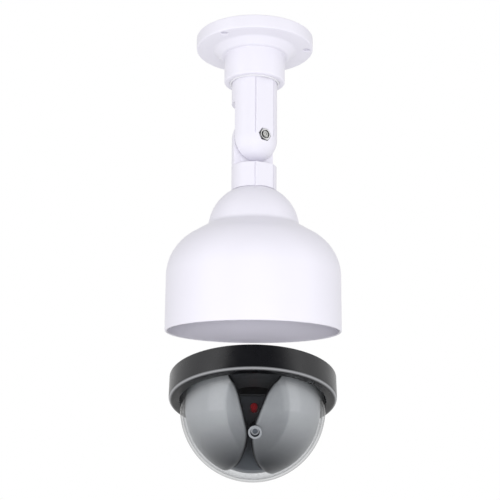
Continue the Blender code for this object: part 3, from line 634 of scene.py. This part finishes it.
# near-black, used as painted shade on the liner's cut faces and in the plate's recess
EDGE = moulded("edge_plastic", (0.006, 0.006, 0.007), 0.5, mottle=0.1)
COMPONENT = moulded("component_black", (0.02, 0.02, 0.021), 0.5, mottle=0.2)
LEAD_RED = moulded("lead_red", (0.55, 0.02, 0.02), 0.4, mottle=0.08)
LEAD_BLACK = moulded("lead_black", (0.012, 0.012, 0.013), 0.4, mottle=0.15)
SATIN = moulded("satin_chrome", (0.38, 0.39, 0.41), 0.30, mottle=0.05)
GLASS = glass_with_painted_reflection()
SILVER = silver_paint()
CLEAR = clear_plastic()
STEEL = metal("steel", (0.66, 0.66, 0.64), 0.18, 0.34)
BRIGHT = metal("bright_steel", (0.80, 0.80, 0.80), 0.08, 0.16)
GREEN = circuit_green()
RED = red_lens()
CELL = banded("cell_can", (0.055, 0.058, 0.065), (0.58, 0.58, 0.57), "X",
              CELL_LENGTH / 2 - 0.0016, 0.28, 0.7)
RESISTOR = banded("resistor_body", (0.55, 0.42, 0.25), (0.60, 0.60, 0.58), "X", 0.1, 0.45)


# ---- screws ----------------------------------------------
def cross(half_length, half_width, low, high):
    """Two bars that cut a cross recess."""
    corner = (half_length, half_width)
    return [moved(block("bar", (-half_length, -half_width, low), (*corner, high)),
                  Matrix.Rotation(turn, 4, "Z")) for turn in (0, math.pi / 2)]


def screw(name, radius, head_radius, seat, top, tip_at):
    """A cross-head screw along Z; its head spans seat to top, and its shank ends at tip_at."""
    rise = (top - seat) * 0.55
    edge = radius * 0.18
    outline = [(0, top), (head_radius * 0.35, top), (head_radius, top - rise, (top - seat) * 0.3),
               (head_radius, seat, edge), (radius, seat), (radius, tip_at, radius * 0.5),
               (0, tip_at)]
    made = turned(name, outline, steps=48)
    depth = (top - seat) * 0.5
    return combine(made, cross(head_radius * 0.52, head_radius * 0.11, top - depth, top + depth))


def fit_screw(node, place, body, *sizes):
    """A steel screw that stands for its CAD node; its sizes are those of screw()."""
    install(screw(f"{node}_fine", *sizes), place, body, "steel", STEEL, node)


# ---- ceiling mount ---------------------------------------
def ceiling_flange():
    outline = [
        (FLANGE_RADIUS, 0, 0.0009), (FLANGE_RADIUS, FLANGE_FACE, 0.0013),
        (BOSS_TOP_RADIUS, FLANGE_FACE, 0.0012), (BOSS_BOTTOM_RADIUS, BOSS_BOTTOM, 0.0010),
        (COLLAR_RADIUS, BOSS_BOTTOM, 0.0007), (COLLAR_RADIUS, COLLAR_BOTTOM, 0.0016),
        (COLLAR_BORE, COLLAR_BOTTOM, 0.0005), (COLLAR_BORE, WEB_BOTTOM),
        (SWIVEL_RADIUS + GAP, WEB_BOTTOM), (SWIVEL_RADIUS + GAP, WEB_TOP),
        (SCREW_POCKET, WEB_TOP, 0.0006), (SCREW_POCKET, 0, 0.0005),
        (RECESS_INNER, 0, 0.0005), (RECESS_INNER, FLANGE_RECESS, 0.0010),
        (RECESS_OUTER, FLANGE_RECESS, 0.0010), (RECESS_OUTER, 0, 0.0005),
    ]
    flange = turned("ceiling_flange_fine", outline, closed=True, steps=192)
    flare = 0.0006
    wide = FIXING_HOLE_RADIUS + flare
    hole = [(0, 0.001), (wide, 0.001), (wide, 0), (FIXING_HOLE_RADIUS, -flare),
            (FIXING_HOLE_RADIUS, FLANGE_FACE + flare), (wide, FLANGE_FACE),
            (wide, FLANGE_FACE - 0.001), (0, FLANGE_FACE - 0.001)]
    holes = []
    for index in range(3):
        angle = FIXING_HOLE_TURN - index * math.tau / 3
        holes.append(moved(turned("hole", hole, steps=48),
                           at(FIXING_HOLE_CIRCLE * math.cos(angle),
                              FIXING_HOLE_CIRCLE * math.sin(angle), 0)))
    combine(flange, holes)
    install(flange, WORLD, "ceiling_mount", "white_plastic", WHITE, "ceiling_flange")


def swivel():
    """The bush in the collar, and the screw and washer that hold the arm up in it."""
    bush = sleeve("collar_bush_fine", UPPER_RADIUS + 2 * FIT, COLLAR_BORE - FIT,
                  COLLAR_BOTTOM - BUSH_STAND, WEB_BOTTOM - GAP, 0.0003, ROUND)
    install(bush, WORLD, "ceiling_mount", "nylon", NYLON, "collar_bush")
    washer_low = WEB_TOP + GAP
    washer_high = washer_low + 0.0015
    washer = sleeve("swivel_washer_fine", SWIVEL_RADIUS + GAP, 0.0095, washer_low, washer_high,
                    0.0002)
    install(washer, WORLD, "ceiling_mount", "steel", STEEL, "swivel_washer")
    fit_screw("swivel_screw", WORLD, "upper_arm", SWIVEL_RADIUS, 0.0056, washer_high + GAP,
              washer_high + 0.0043, -0.0360)


# ---- arms and elbow --------------------------------------
def with_pads(arm, top, bottom, depth):
    """Add the two flat pads that run down an arm, on its front and its back."""
    rail = block("rail", (-PAD_HALF_WIDTH, -depth - 0.001, bottom),
                 (PAD_HALF_WIDTH, depth + 0.001, top))
    combine(arm, [rail], "UNION")
    skims = []
    for side in (-1, 1):
        near, far = sorted((side * depth, side * (depth + 0.004)))
        skims.append(block("skim", (-0.012, near, -0.060), (0.012, far, 0.060)))
    combine(arm, skims)


def pad_grooves(low, high, depth):
    """The fine grooves that run down beside the pads, front and back."""
    floor = depth - PAD_GROOVE_DEPTH
    grooves = []
    for side in (-1, 1):
        for face in (-1, 1):
            across = sorted((side * PAD_HALF_WIDTH, side * (PAD_HALF_WIDTH + PAD_GROOVE_WIDTH)))
            through = sorted((face * floor, face * (depth + 0.002)))
            grooves.append(block("groove", (across[0], through[0], low),
                                 (across[1], through[1], high)))
    return grooves


def upper_arm():
    top = ARM_TOP - PIVOT.z
    radius = UPPER_RADIUS
    arm = turned("upper_arm_fine", [(0, top), (radius, top, 0.0006)]
                 + arc((0, 0), radius, 0, -math.pi / 2, 24)[:-1] + [(0, -radius)])
    with_pads(arm, PAD_TOP - PIVOT.z, 0, PAD_DEPTH)
    pocket_floor = PAD_DEPTH + NUT_STAND - NUT_HEIGHT - GAP
    combine(arm, [
        block("lap", (-REACH, -LAP_HALF_GAP, -REACH), (REACH, REACH, UPPER_SHOULDER - PIVOT.z)),
        rod("screw_bore", SWIVEL_RADIUS + GAP, top - 0.0185, top + 0.001),
        moved(rod("bolt_hole", BOLT_RADIUS + GAP, -REACH, REACH), FORWARD),
        moved(rod("pocket", (NUT_FLATS / 2 + GAP) / math.cos(math.pi / 6), pocket_floor, REACH,
                  steps=6), rotated(math.pi / 2, NUT_TURN)),
    ])
    mould(arm, ARM_VOXEL, ARM_ROUNDS)
    combine(arm, pad_grooves(0, PAD_TOP - PIVOT.z, PAD_DEPTH))
    install(arm, ELBOW, "upper_arm", "white_plastic", WHITE, "upper_arm")


def lower_arm():
    radius = LOWER_RADIUS
    depth = PAD_DEPTH - 0.0003
    bottom = CAP_CENTRE + CAP_RADIUS - 0.008 - PIVOT.z
    arm = turned("lower_arm_fine", [(0, radius)] + arc((0, 0), radius, math.pi / 2, 0, 24)[1:]
                 + [(radius, bottom), (0, bottom)])
    with_pads(arm, 0, bottom, depth)
    seat_radius = CAP_RADIUS + FIT
    seat = turned("seat", [(0, seat_radius)]
                  + arc((0, 0), seat_radius, math.pi / 2, -math.pi / 2, 60)[1:-1]
                  + [(0, -seat_radius)])
    cuts = [
        block("lap", (-REACH, -REACH, LOWER_SHOULDER - PIVOT.z), (REACH, LAP_HALF_GAP, REACH)),
        moved(seat, at(0, 0, CAP_CENTRE - PIVOT.z)),
        moved(rod("bolt_hole", BOLT_RADIUS + GAP, -REACH, REACH), FORWARD),
        moved(rod("head_pocket", 0.0052, -REACH, -0.0107), FORWARD),
    ]
    for side in (-1, 1):
        cuts.append(moved(rod("housing_hole", HOUSING_HOLE_RADIUS, -0.050, -0.1035 - PIVOT.z),
                          at(side * HOUSING_SCREW_X, 0, 0)))
    combine(arm, cuts)
    mould(arm, ARM_VOXEL, ARM_ROUNDS)
    combine(arm, pad_grooves(bottom - 0.001, 0, depth))
    install(arm, ELBOW, "lower_arm", "white_plastic", WHITE, "lower_arm")


def elbow_fastening():
    """Bolt, nut and washers along the bolt axis; +Z of each piece is the nut's end."""
    place = ELBOW @ FORWARD
    washer = sleeve("elbow_washer_fine", BOLT_RADIUS + GAP, 0.0090, -0.0002, 0.0002, 0.0001)
    install(washer, place, "upper_arm", "nylon", NYLON, "elbow_washer")
    washer = sleeve("bolt_head_washer_fine", BOLT_RADIUS + GAP, 0.0048, -0.0118, -0.0110, 0.0001)
    install(washer, place, "lower_arm", "steel", STEEL, "bolt_head_washer")
    front = PAD_DEPTH + NUT_STAND
    end = front + 0.0003
    pitch = 0.0008
    outline = [(0, end - 0.0002), (0.0009, end - 0.0002), (0.0011, end), (BOLT_RADIUS - 0.0005, end)]
    for turn in range(6):
        crest = end - 0.0004 - turn * pitch
        outline += [(BOLT_RADIUS, crest), (BOLT_RADIUS - 0.0004, crest - pitch / 2)]
    outline += [(BOLT_RADIUS, end - 0.0004 - 6 * pitch), (BOLT_RADIUS, -0.0121),
                (BOLT_HEAD_RADIUS, -0.0121), (BOLT_HEAD_RADIUS, -0.0152, 0.0016), (0, -0.0152)]
    bolt = turned("elbow_bolt_fine", outline, steps=SMALL_ROUND)
    combine(bolt, cross(0.0024, 0.0005, -0.0160, -0.0139))
    install(bolt, place, "upper_arm", "steel", STEEL, "elbow_bolt")
    corner = NUT_FLATS / 2 / math.cos(math.pi / 6)
    nut = rod("elbow_nut_fine", corner, front - NUT_HEIGHT, front, steps=6)
    chamfer = turned("chamfer", [(0, front), (NUT_FLATS / 2 * 0.94, front),
                                 (corner + 0.0002, front - 0.0006),
                                 (corner + 0.0002, front - NUT_HEIGHT), (0, front - NUT_HEIGHT)])
    combine(nut, [chamfer], "INTERSECT")
    bore_radius = BOLT_RADIUS + 0.0001
    bore = turned("bore", [(0, front + 0.001), (bore_radius + 0.0005, front + 0.001),
                           (bore_radius + 0.0005, front), (bore_radius, front - 0.0005),
                           (bore_radius, front - 0.010), (0, front - 0.010)], steps=SMALL_ROUND)
    combine(nut, [bore])
    round_edges(nut, 0.00012, 25)
    settle(nut)
    install(nut, ELBOW @ rotated(math.pi / 2, NUT_TURN), "upper_arm", "steel", BRIGHT, "elbow_nut")


# ---- bell housing ----------------------------------------
def bell_profile(inset, crease):
    """Cap, cone and shoulder of the bell, moved in by inset, with a soft crease under the cap."""
    cap = CAP_RADIUS - inset
    shoulder = SHOULDER_ARC - inset
    shoulder_x = BELL_RADIUS - SHOULDER_ARC
    normal = math.pi / 2 - CONE_SLOPE
    tangent_x = shoulder_x + shoulder * math.cos(normal)
    tangent_z = SHOULDER_CENTRE + shoulder * math.sin(normal)
    # the cone's line runs up from the tangent point until it meets the cap's circle
    slope = math.tan(CONE_SLOPE)
    offset = tangent_z + slope * tangent_x - CAP_CENTRE
    a = 1 + slope * slope
    b = -2 * slope * offset
    c = offset * offset - cap * cap
    crease_x = (-b + math.sqrt(b * b - 4 * a * c)) / (2 * a)
    crease_angle = math.atan2(offset - slope * crease_x, crease_x)
    profile = arc((0, CAP_CENTRE), cap, math.pi / 2, crease_angle, 30)
    profile[-1] = (*profile[-1], crease)
    return profile + arc((shoulder_x, SHOULDER_CENTRE), shoulder, normal, 0, 30)


def bell_housing():
    outer = bell_profile(0, 0.0022)
    outer[0] = (0, CAP_CENTRE + CAP_RADIUS)
    inner = [point for point in bell_profile(BELL_WALL, 0.0030) if point[1] < HUB]
    side = BELL_RADIUS - BELL_WALL
    lip = BELL_WALL / 2
    rim = arc((BELL_RADIUS - lip, RIM + lip), lip, 0, -math.pi, 12)
    ledge_top = LEDGE + LEDGE_HEIGHT
    ledge = [(side, LEDGE - 0.0005, 0.0003), (LEDGE_RADIUS, LEDGE, 0.0004),
             (LEDGE_RADIUS, ledge_top, 0.0004), (side, ledge_top, 0.0003)]
    hub_radius = math.sqrt((CAP_RADIUS - BELL_WALL) ** 2 - (HUB - CAP_CENTRE) ** 2)
    outline = outer + rim + ledge + inner[::-1] + [(hub_radius, HUB, 0.0015), (0, HUB)]
    bell = turned("bell_housing_fine", outline, steps=224)
    places = [at(across * math.cos(ARM_TURN), across * math.sin(ARM_TURN), 0)
              for across in (-HOUSING_SCREW_X, HOUSING_SCREW_X)]
    combine(bell, [moved(rod("hub_hole", HOUSING_HOLE_RADIUS, HUB - 0.004, -0.108), place)
                   for place in places])
    install(bell, WORLD, "lower_arm", "white_plastic", WHITE, "bell_housing")
    for index, place in enumerate(places):
        fit_screw(f"housing_screw_{index + 1}", place @ FLIP, "lower_arm", 0.0020, 0.0040,
                  -HUB + GAP, -HUB + 0.0026, 0.1042)


# ---- camera unit: ring, dome and plate -------------------
def base_screw_places():
    places = []
    for index in range(3):
        angle = math.pi / 2 + index * math.tau / 3
        places.append(at(BASE_SCREW_CIRCLE * math.cos(angle), BASE_SCREW_CIRCLE * math.sin(angle), 0))
    return places


def base_screw_holes(low, high):
    return [moved(rod("hole", BASE_SCREW_RADIUS + GAP, low, high, steps=24), place)
            for place in base_screw_places()]


def bezel_ring():
    inner = RING_RADIUS - RING_WALL
    outline = [(RING_RADIUS, RING_HEIGHT, 0.0005)]
    outline += [(RING_RADIUS, 0, 0.0030), (RING_OPENING, 0, 0.0007), (RING_OPENING, RING_LIP, 0.0003),
                (inner, RING_LIP, 0.0003), (inner, RING_HEIGHT, 0.0003)]
    ring = turned("bezel_ring_fine", outline, closed=True, steps=224)
    combine(ring, base_screw_holes(0.0008, RING_LIP + 0.001))
    install(ring, UNIT, "camera_unit", "black_plastic", RING_BLACK, "bezel_ring")


def clear_dome():
    low, high = DOME_FLANGE
    inner = DOME_RADIUS - DOME_WALL
    outline = [(PLATE_RADIUS, high, 0.0003), (PLATE_RADIUS, low, 0.0003), (DOME_RADIUS, low, 0.0004)]
    outline += arc((0, DOME_CENTRE), DOME_RADIUS, 0, -math.pi / 2, 48)[:-1]
    outline += [(0, DOME_CENTRE - DOME_RADIUS), (0, DOME_CENTRE - inner)]
    outline += arc((0, DOME_CENTRE), inner, -math.pi / 2, 0, 48)[1:]
    outline += [(inner, high, 0.0005)]
    dome = turned("clear_dome_fine", outline, closed=True, steps=192)
    combine(dome, base_screw_holes(low - 0.001, high + 0.001))
    install(dome, UNIT, "camera_unit", "clear_plastic", CLEAR, "clear_dome")


def base_plate():
    low, high = PLATE
    plate = turned("base_plate_fine", [(0, high), (PLATE_RADIUS, high, 0.0004),
                                       (PLATE_RADIUS, low, 0.0004), (0, low)])
    half_round = arc((0, 0), RECESS_RADIUS, math.pi, math.tau, 40)
    recess_edge = -PANEL_HALF_THICKNESS - 0.0006
    cuts = base_screw_holes(low - 0.001, high + 0.001)
    cuts.append(moved(slab("recess", half_round, 2 * RECESS_DEPTH), at(LED_X, recess_edge, low)))
    cuts.append(block("wire_hole", (WIRE_HOLE[0], -WIRE_HOLE_HALF_WIDTH, low - 0.001),
                      (WIRE_HOLE[1], WIRE_HOLE_HALF_WIDTH, high + 0.001)))
    for side in (-1, 1):
        cuts.append(moved(rod("foot_hole", 0.0015, low - 0.001, high - 0.0004, steps=24),
                          at(side * FOOT_SCREW[0], FOOT_SCREW[1], 0)))
        cuts.append(moved(rod("box_hole", BOX_HOLE_RADIUS, low - 0.001, high + 0.001, steps=24),
                          at(side * BOX_SCREW_X, 0, 0)))
    combine(plate, cuts)
    paint(plate, DARK, EDGE)
    # the recess's floor gets the near-black material as painted shade
    for face in plate.data.polygons:
        x, y, z = face.center
        in_outline = abs(x - LED_X) < RECESS_RADIUS - 0.0001 and -0.0170 < y < -PANEL_HALF_THICKNESS
        if in_outline and low + 0.0003 < z < high - 0.0003:
            face.material_index = 1
    install(plate, UNIT, "camera_unit", "dark_plastic", None, "base_plate")
    for index, place in enumerate(base_screw_places()):
        fit_screw(f"base_screw_{index + 1}", UNIT @ place, "camera_unit", BASE_SCREW_RADIUS,
                  0.0022, high + GAP, high + 0.0018, 0.0011)


# ---- camera unit: liner, lens and lamp -------------------
def smooth(points, per_span):
    """Points on a Catmull-Rom curve through the given ones."""
    ends = [points[0], *points, points[-1]]
    curve = []
    for i in range(1, len(ends) - 2):
        before, start, end, after = ends[i - 1:i + 3]
        for j in range(per_span):
            t = j / per_span
            curve.append(tuple(
                0.5 * (2 * start[k] + (end[k] - before[k]) * t
                       + (2 * before[k] - 5 * start[k] + 4 * end[k] - after[k]) * t * t
                       + (3 * start[k] - before[k] - 3 * end[k] + after[k]) * t ** 3)
                for k in range(len(start))))
    curve.append(points[-1])
    return curve


def slot_edge():
    """Half the slot's width against the way up it, seen along the pinch direction."""
    edge = smooth([(0.0110, -0.0350), (0.0066, -0.0265), (0.0034, -0.0180), (0.0013, -0.0080),
                   (0.0010, 0.0), (0.0030, 0.0070), (0.0060, 0.0160), (0.0105, 0.0260),
                   (0.0200, 0.0345)], 8)
    return [(0.0185, -0.0520), (0.0148, -0.0425)] + edge + [(0.0420, 0.0480), (0.0420, 0.0700)]


def half_width(edge, height):
    """The slot's half width at one height up it."""
    for (low_x, low_y), (high_x, high_y) in zip(edge, edge[1:]):
        if low_y <= height <= high_y:
            return low_x + (high_x - low_x) * (height - low_y) / (high_y - low_y)
    return edge[0][0] if height < edge[0][1] else edge[-1][0]


def liner_halves():
    """Two half shells inside the dome, parted by a slot; their edges curl inwards to it."""
    inner = LINER_RADIUS - LINER_WALL
    top = PLATE[0] - GAP
    outline = [(LINER_RADIUS, top, 0.0003)]
    outline += arc((0, DOME_CENTRE), LINER_RADIUS, 0, -math.pi / 2, 90)[:-1]
    outline += [(0, DOME_CENTRE - LINER_RADIUS), (0, DOME_CENTRE - inner)]
    outline += arc((0, DOME_CENTRE), inner, -math.pi / 2, 0, 90)[1:]
    outline += [(inner, top, 0.0003)]
    edge = slot_edge()
    centre = Vector((0, 0, DOME_CENTRE))
    toward_pinch = Euler((math.pi / 2 + PINCH_ANGLE, SLOT_LEAN, 0)).to_matrix()
    from_pinch = toward_pinch.inverted()
    for name, side in (("liner_left", -1), ("liner_right", 1)):
        def from_slot(point):
            seen = from_pinch @ (point - centre)
            return side * seen.x - half_width(edge, seen.y)

        half = turned(f"{name}_fine", outline, closed=True, steps=256)
        for vertex in half.data.vertices:
            out = vertex.co - centre
            share = min(max(1 - from_slot(vertex.co) / CURL_WIDTH, 0.0), 1.0)
            vertex.co = centre + out * (1 - CURL_DEPTH * share ** 2.2 / LINER_RADIUS)
        far = [(0.0800, 0.0700), (0.0800, -0.0520)]
        lobe = slab("lobe", [(side * x, y) for x, y in edge + far], 0.200)
        moved(lobe, Matrix.Translation(centre) @ toward_pinch.to_4x4())
        combine(half, [lobe], "INTERSECT")
        hole = rod("hole", LENS_RING_RADIUS - 0.0002, 0.0200, 0.0600)
        combine(half, [moved(hole, at(LENS_X, 0, DOME_CENTRE) @ LENS_OUT)])
        measure(half, "slot_distance", from_slot)
        paint(half, SILVER, EDGE)
        # the liner's cut faces get the near-black material as painted shade
        for face in half.data.polygons:
            if abs(face.normal.dot((face.center - centre).normalized())) < CUT_FACE:
                face.material_index = 1
        install(half, UNIT, "camera_unit", "silver_paint", None, name)


def lens():
    """Barrel, ring and glass of the dummy lens; +Z of each runs out along its axis."""
    place = UNIT @ at(LENS_X, 0, DOME_CENTRE) @ LENS_OUT
    ring_low = LINER_RADIUS + GAP
    ring_high = ring_low + 0.0008
    barrel_radius = LENS_RING_RADIUS - 0.0006
    barrel = turned("lens_barrel_fine", [
        (barrel_radius, ring_low - GAP, 0.0002), (barrel_radius, 0.0370), (0, 0.0370), (0, 0.0385),
        (LENS_RADIUS - 0.0004, 0.0385), (LENS_RADIUS - 0.0004, 0.0428), (LENS_RADIUS, 0.0428),
        (LENS_RADIUS, ring_low - GAP)], closed=True, steps=SMALL_ROUND)
    install(barrel, place, "camera_unit", "black_plastic", BLACK, "lens_barrel")
    ring = turned("lens_ring_fine", [
        (LENS_RING_RADIUS, ring_high, 0.0003), (LENS_RING_RADIUS, ring_low, 0.0001),
        (LENS_RADIUS - 0.0002, ring_low, 0.0001), (LENS_RADIUS - 0.0005, ring_high, 0.0002)],
        closed=True, steps=SMALL_ROUND)
    install(ring, place, "camera_unit", "steel", SATIN, "lens_ring")
    radius = LENS_RADIUS - GAP
    low = 0.0431
    rise = 0.0006
    bulge = 0.0010
    dome = [(radius * t / 12, low + rise + bulge * (1 - (t / 12) ** 2)) for t in range(13)]
    glass = turned("lens_glass_fine", dome + [(radius, low), (0, low)], steps=SMALL_ROUND)
    measure(glass, "axis_distance", lambda point: point.xy.length / radius)
    install(glass, place, "camera_unit", "lens_glass", GLASS, "lens_glass")


def lamp():
    bulb = [(0, 0.0076)] + arc((0, 0.0051), LED_RADIUS, math.pi / 2, 0, 20)[1:]
    bulb += [(LED_RADIUS, -0.0019, 0.0003), (0, -0.0019)]
    led = turned("led_fine", bulb, steps=SMALL_ROUND)
    install(led, UNIT @ at(LED_X, 0, LED_HEIGHT) @ FORWARD, "camera_unit", "red_led", RED, "led")
    foot_low = PLATE[0] - GAP - 0.0022
    for index, side in enumerate((-1, 1)):
        fit_screw(f"panel_screw_{index + 1}",
                  UNIT @ at(side * FOOT_SCREW[0], FOOT_SCREW[1], 0) @ FLIP, "camera_unit",
                  0.0012, 0.0021, -foot_low + GAP, -foot_low + 0.0017, -PLATE[1] + 0.0008)


# ---- camera unit: battery box ----------------------------
def battery_box():
    low, high = BOX
    box = block("battery_box_fine", (-BOX_HALF_LENGTH, -BOX_HALF_WIDTH, low),
                (BOX_HALF_LENGTH, BOX_HALF_WIDTH, high), 0.0006)
    cuts = [block("hollow", (-BOX_HALF_LENGTH + BOX_WALL, -BOX_HALF_WIDTH + BOX_WALL, low + BOX_WALL),
                  (BOX_HALF_LENGTH - BOX_WALL, BOX_HALF_WIDTH - BOX_WALL, high + 0.005))]
    for side in (-1, 1):
        cuts.append(moved(rod("outlet", 0.0010, -0.0035, 0.0035, steps=24),
                          at(-BOX_HALF_LENGTH, side * CELL_Y, 0.0110) @ rotated(0, math.pi / 2)))
        cuts.append(moved(rod("screw_hole", BOX_HOLE_RADIUS, low - 0.001, low + BOX_WALL + 0.001,
                              steps=24), at(side * BOX_SCREW_X, 0, 0)))
    combine(box, cuts)
    install(box, UNIT, "camera_unit", "black_plastic", BLACK, "battery_box")
    seat = low + BOX_WALL + GAP
    for index, side in enumerate((-1, 1)):
        fit_screw(f"box_screw_{index + 1}", UNIT @ at(side * BOX_SCREW_X, 0, 0), "camera_unit",
                  0.0011, 0.0018, seat, seat + 0.0012, PLATE[0] + 0.0006)
    low, high = DOOR
    door = block("battery_door_fine", (-BOX_HALF_LENGTH, -BOX_HALF_WIDTH, low),
                 (BOX_HALF_LENGTH, BOX_HALF_WIDTH, high), 0.0004)
    ribs = [block("rib", (-0.0050 + index * 0.0030, -0.0070, high - 0.0005),
                  (-0.0040 + index * 0.0030, 0.0070, high + 0.0007), 0.0002) for index in range(4)]
    combine(door, ribs, "UNION")
    install(door, UNIT, "battery_door", "black_plastic", BLACK, "battery_door")


def batteries():
    """Two cells side by side, end for end; +Z of each runs to its positive end."""
    cell_end = BOX_HALF_LENGTH - BOX_WALL - GAP - 0.0005 - GAP
    for index, side in enumerate((-1, 1)):
        shoulder = CELL_LENGTH / 2 - 0.0010
        tail = -CELL_LENGTH / 2
        outline = [(0, CELL_LENGTH / 2), (0.0027, CELL_LENGTH / 2, 0.0004), (0.0027, shoulder, 0.0003),
                   (CELL_RADIUS, shoulder, 0.0007), (CELL_RADIUS, tail, 0.0007), (0, tail)]
        cell = turned(f"battery_{index + 1}_fine", outline, steps=96)
        along = rotated(0, side * math.pi / -2)
        place = at(0, side * CELL_Y, CELL_HEIGHT) @ along @ at(0, 0, cell_end - CELL_LENGTH / 2)
        install(cell, UNIT @ place, "camera_unit", "cell_can", CELL, f"battery_{index + 1}")


# ---- the CAD pieces that stay, with finer materials ------
def keep(node, finish, edge=0.0):
    """A CAD node that is shown as it is, with a real material and softened edges."""
    shown = frame["nodes"][node]
    paint(shown, finish)
    weld = shown.modifiers.new("weld", "WELD")
    weld.merge_threshold = 0.000001
    if edge:
        round_edges(shown, edge, 40)


def kept_pieces():
    keep("led_panel", PANEL, 0.0002)
    keep("circuit_board", GREEN)
    keep("flasher_chip", COMPONENT, 0.0002)
    keep("capacitor", COMPONENT, 0.0003)
    keep("resistor", RESISTOR, 0.0002)
    for node in ("battery_spring_1", "battery_spring_2", "contact_1", "contact_2",
                 "contact_bridge"):
        keep(node, STEEL)
    keep("wire_red", LEAD_RED)
    keep("wire_black", LEAD_BLACK)


# ---- the studio ------------------------------------------
def studio_world():
    """A white tent, open to the front, so that gloss shows a dark gap there and a dark ground.

    Rough surfaces get even light with a slope to it, and the camera sees plain white.
    """
    gap_centre = math.radians(9)
    gap_half = math.radians(51)
    gap_edge = math.radians(1.5)
    gap_light = 0.04
    ground_fade = (-0.97, -0.40)  # gloss shows the ground darken between these slopes
    level_light = 0.76            # soft light from the sides,
    front_light = 0.12            # how much more comes from the front,
    top_light = -0.27             # and, as it is negative, how much less from above
    world = bpy.data.worlds.new("studio")
    bpy.context.scene.world = world
    world.use_nodes = True
    tree = world.node_tree
    where = add(tree, "ShaderNodeTexCoord").outputs["Generated"]
    axes = axes_of(tree, where)
    bearing = maths(tree, "ARCTAN2", axes["X"], maths(tree, "MULTIPLY", axes["Y"], -1.0))
    away = maths(tree, "ABSOLUTE", maths(tree, "SUBTRACT", bearing, gap_centre))
    walls = spread(tree, away, gap_half - gap_edge, gap_half + gap_edge, gap_light, 1.0)
    ground = spread(tree, axes["Z"], *ground_fade, gap_light, 1.0)
    slope = add(tree, "ShaderNodeVectorMath", {1: (0, -front_light, top_light)},
                operation="DOT_PRODUCT")
    tree.links.new(where, slope.inputs[0])
    path = add(tree, "ShaderNodeLightPath")
    choose = add(tree, "ShaderNodeMix", data_type="FLOAT")
    tree.links.new(path.outputs["Is Glossy Ray"], choose.inputs["Factor"])
    tree.links.new(maths(tree, "ADD", slope.outputs["Value"], level_light), choose.inputs["A"])
    tree.links.new(maths(tree, "MINIMUM", walls, ground), choose.inputs["B"])
    seen = add(tree, "ShaderNodeMix", {"B": 1.0}, data_type="FLOAT")
    tree.links.new(path.outputs["Is Camera Ray"], seen.inputs["Factor"])
    tree.links.new(choose.outputs["Result"], seen.inputs["A"])
    background = tree.nodes["Background"]
    background.inputs["Color"].default_value = (1, 1, 1, 1)
    tree.links.new(seen.outputs["Result"], background.inputs["Strength"])


def softbox(name, place, target, width, height, power):
    light = bpy.data.lights.new(name, "AREA")
    light.shape = "RECTANGLE"
    light.size = width
    light.size_y = height
    light.energy = power
    made = bpy.data.objects.new(name, light)
    made.location = place
    made.rotation_euler = (Vector(target) - Vector(place)).to_track_quat("-Z", "Y").to_euler()
    bpy.context.scene.collection.objects.link(made)
    return made


def studio():
    studio_world()
    middle = (0, 0, -0.16)
    softbox("left_softbox", (-0.9, -0.55, 0.15), middle, 0.6, 1.1, 0.9)
    softbox("right_softbox", (0.9, -0.45, 0.15), middle, 0.6, 1.1, 0.9)
    front = softbox("front_softbox", (0, -0.85, -0.36), middle, 0.6, 0.12, 3.0)
    front.visible_glossy = False
    mesh = bpy.data.meshes.new("floor")
    body = bmesh.new()
    bmesh.ops.create_grid(body, x_segments=1, y_segments=1, size=6.0)
    body.to_mesh(mesh)
    body.free()
    floor = bpy.data.objects.new("floor", mesh)
    floor.location = (0, 0, -1.0)
    bpy.context.scene.collection.objects.link(floor)
    floor.data.materials.append(moulded("floor_paint", (0.86, 0.86, 0.87), 0.7, mottle=0.01,
                                        Emission_Color=(1, 1, 1, 1), Emission_Strength=0.45))
    floor.visible_diffuse = False
    floor.visible_glossy = False


def camera():
    """The camera stands in front of and below the object, and looks up at it."""
    place = at(-0.00252, -0.6947, -0.30885)
    pitch = math.radians(90 + 12.22)
    roll = math.radians(0.37)
    data = bpy.data.cameras.new("camera")
    data.lens = 72.86
    data.sensor_width = 36.0
    made = bpy.data.objects.new("camera", data)
    made.matrix_world = place @ Matrix.Rotation(pitch, 4, "X") @ Matrix.Rotation(roll, 4, "Z")
    bpy.context.scene.collection.objects.link(made)
    bpy.context.scene.camera = made


ceiling_flange()
swivel()
upper_arm()
lower_arm()
elbow_fastening()
bell_housing()
bezel_ring()
clear_dome()
base_plate()
liner_halves()
lens()
lamp()
battery_box()
batteries()
kept_pieces()
studio()
camera()
bpy.context.scene.view_settings.view_transform = "Standard"
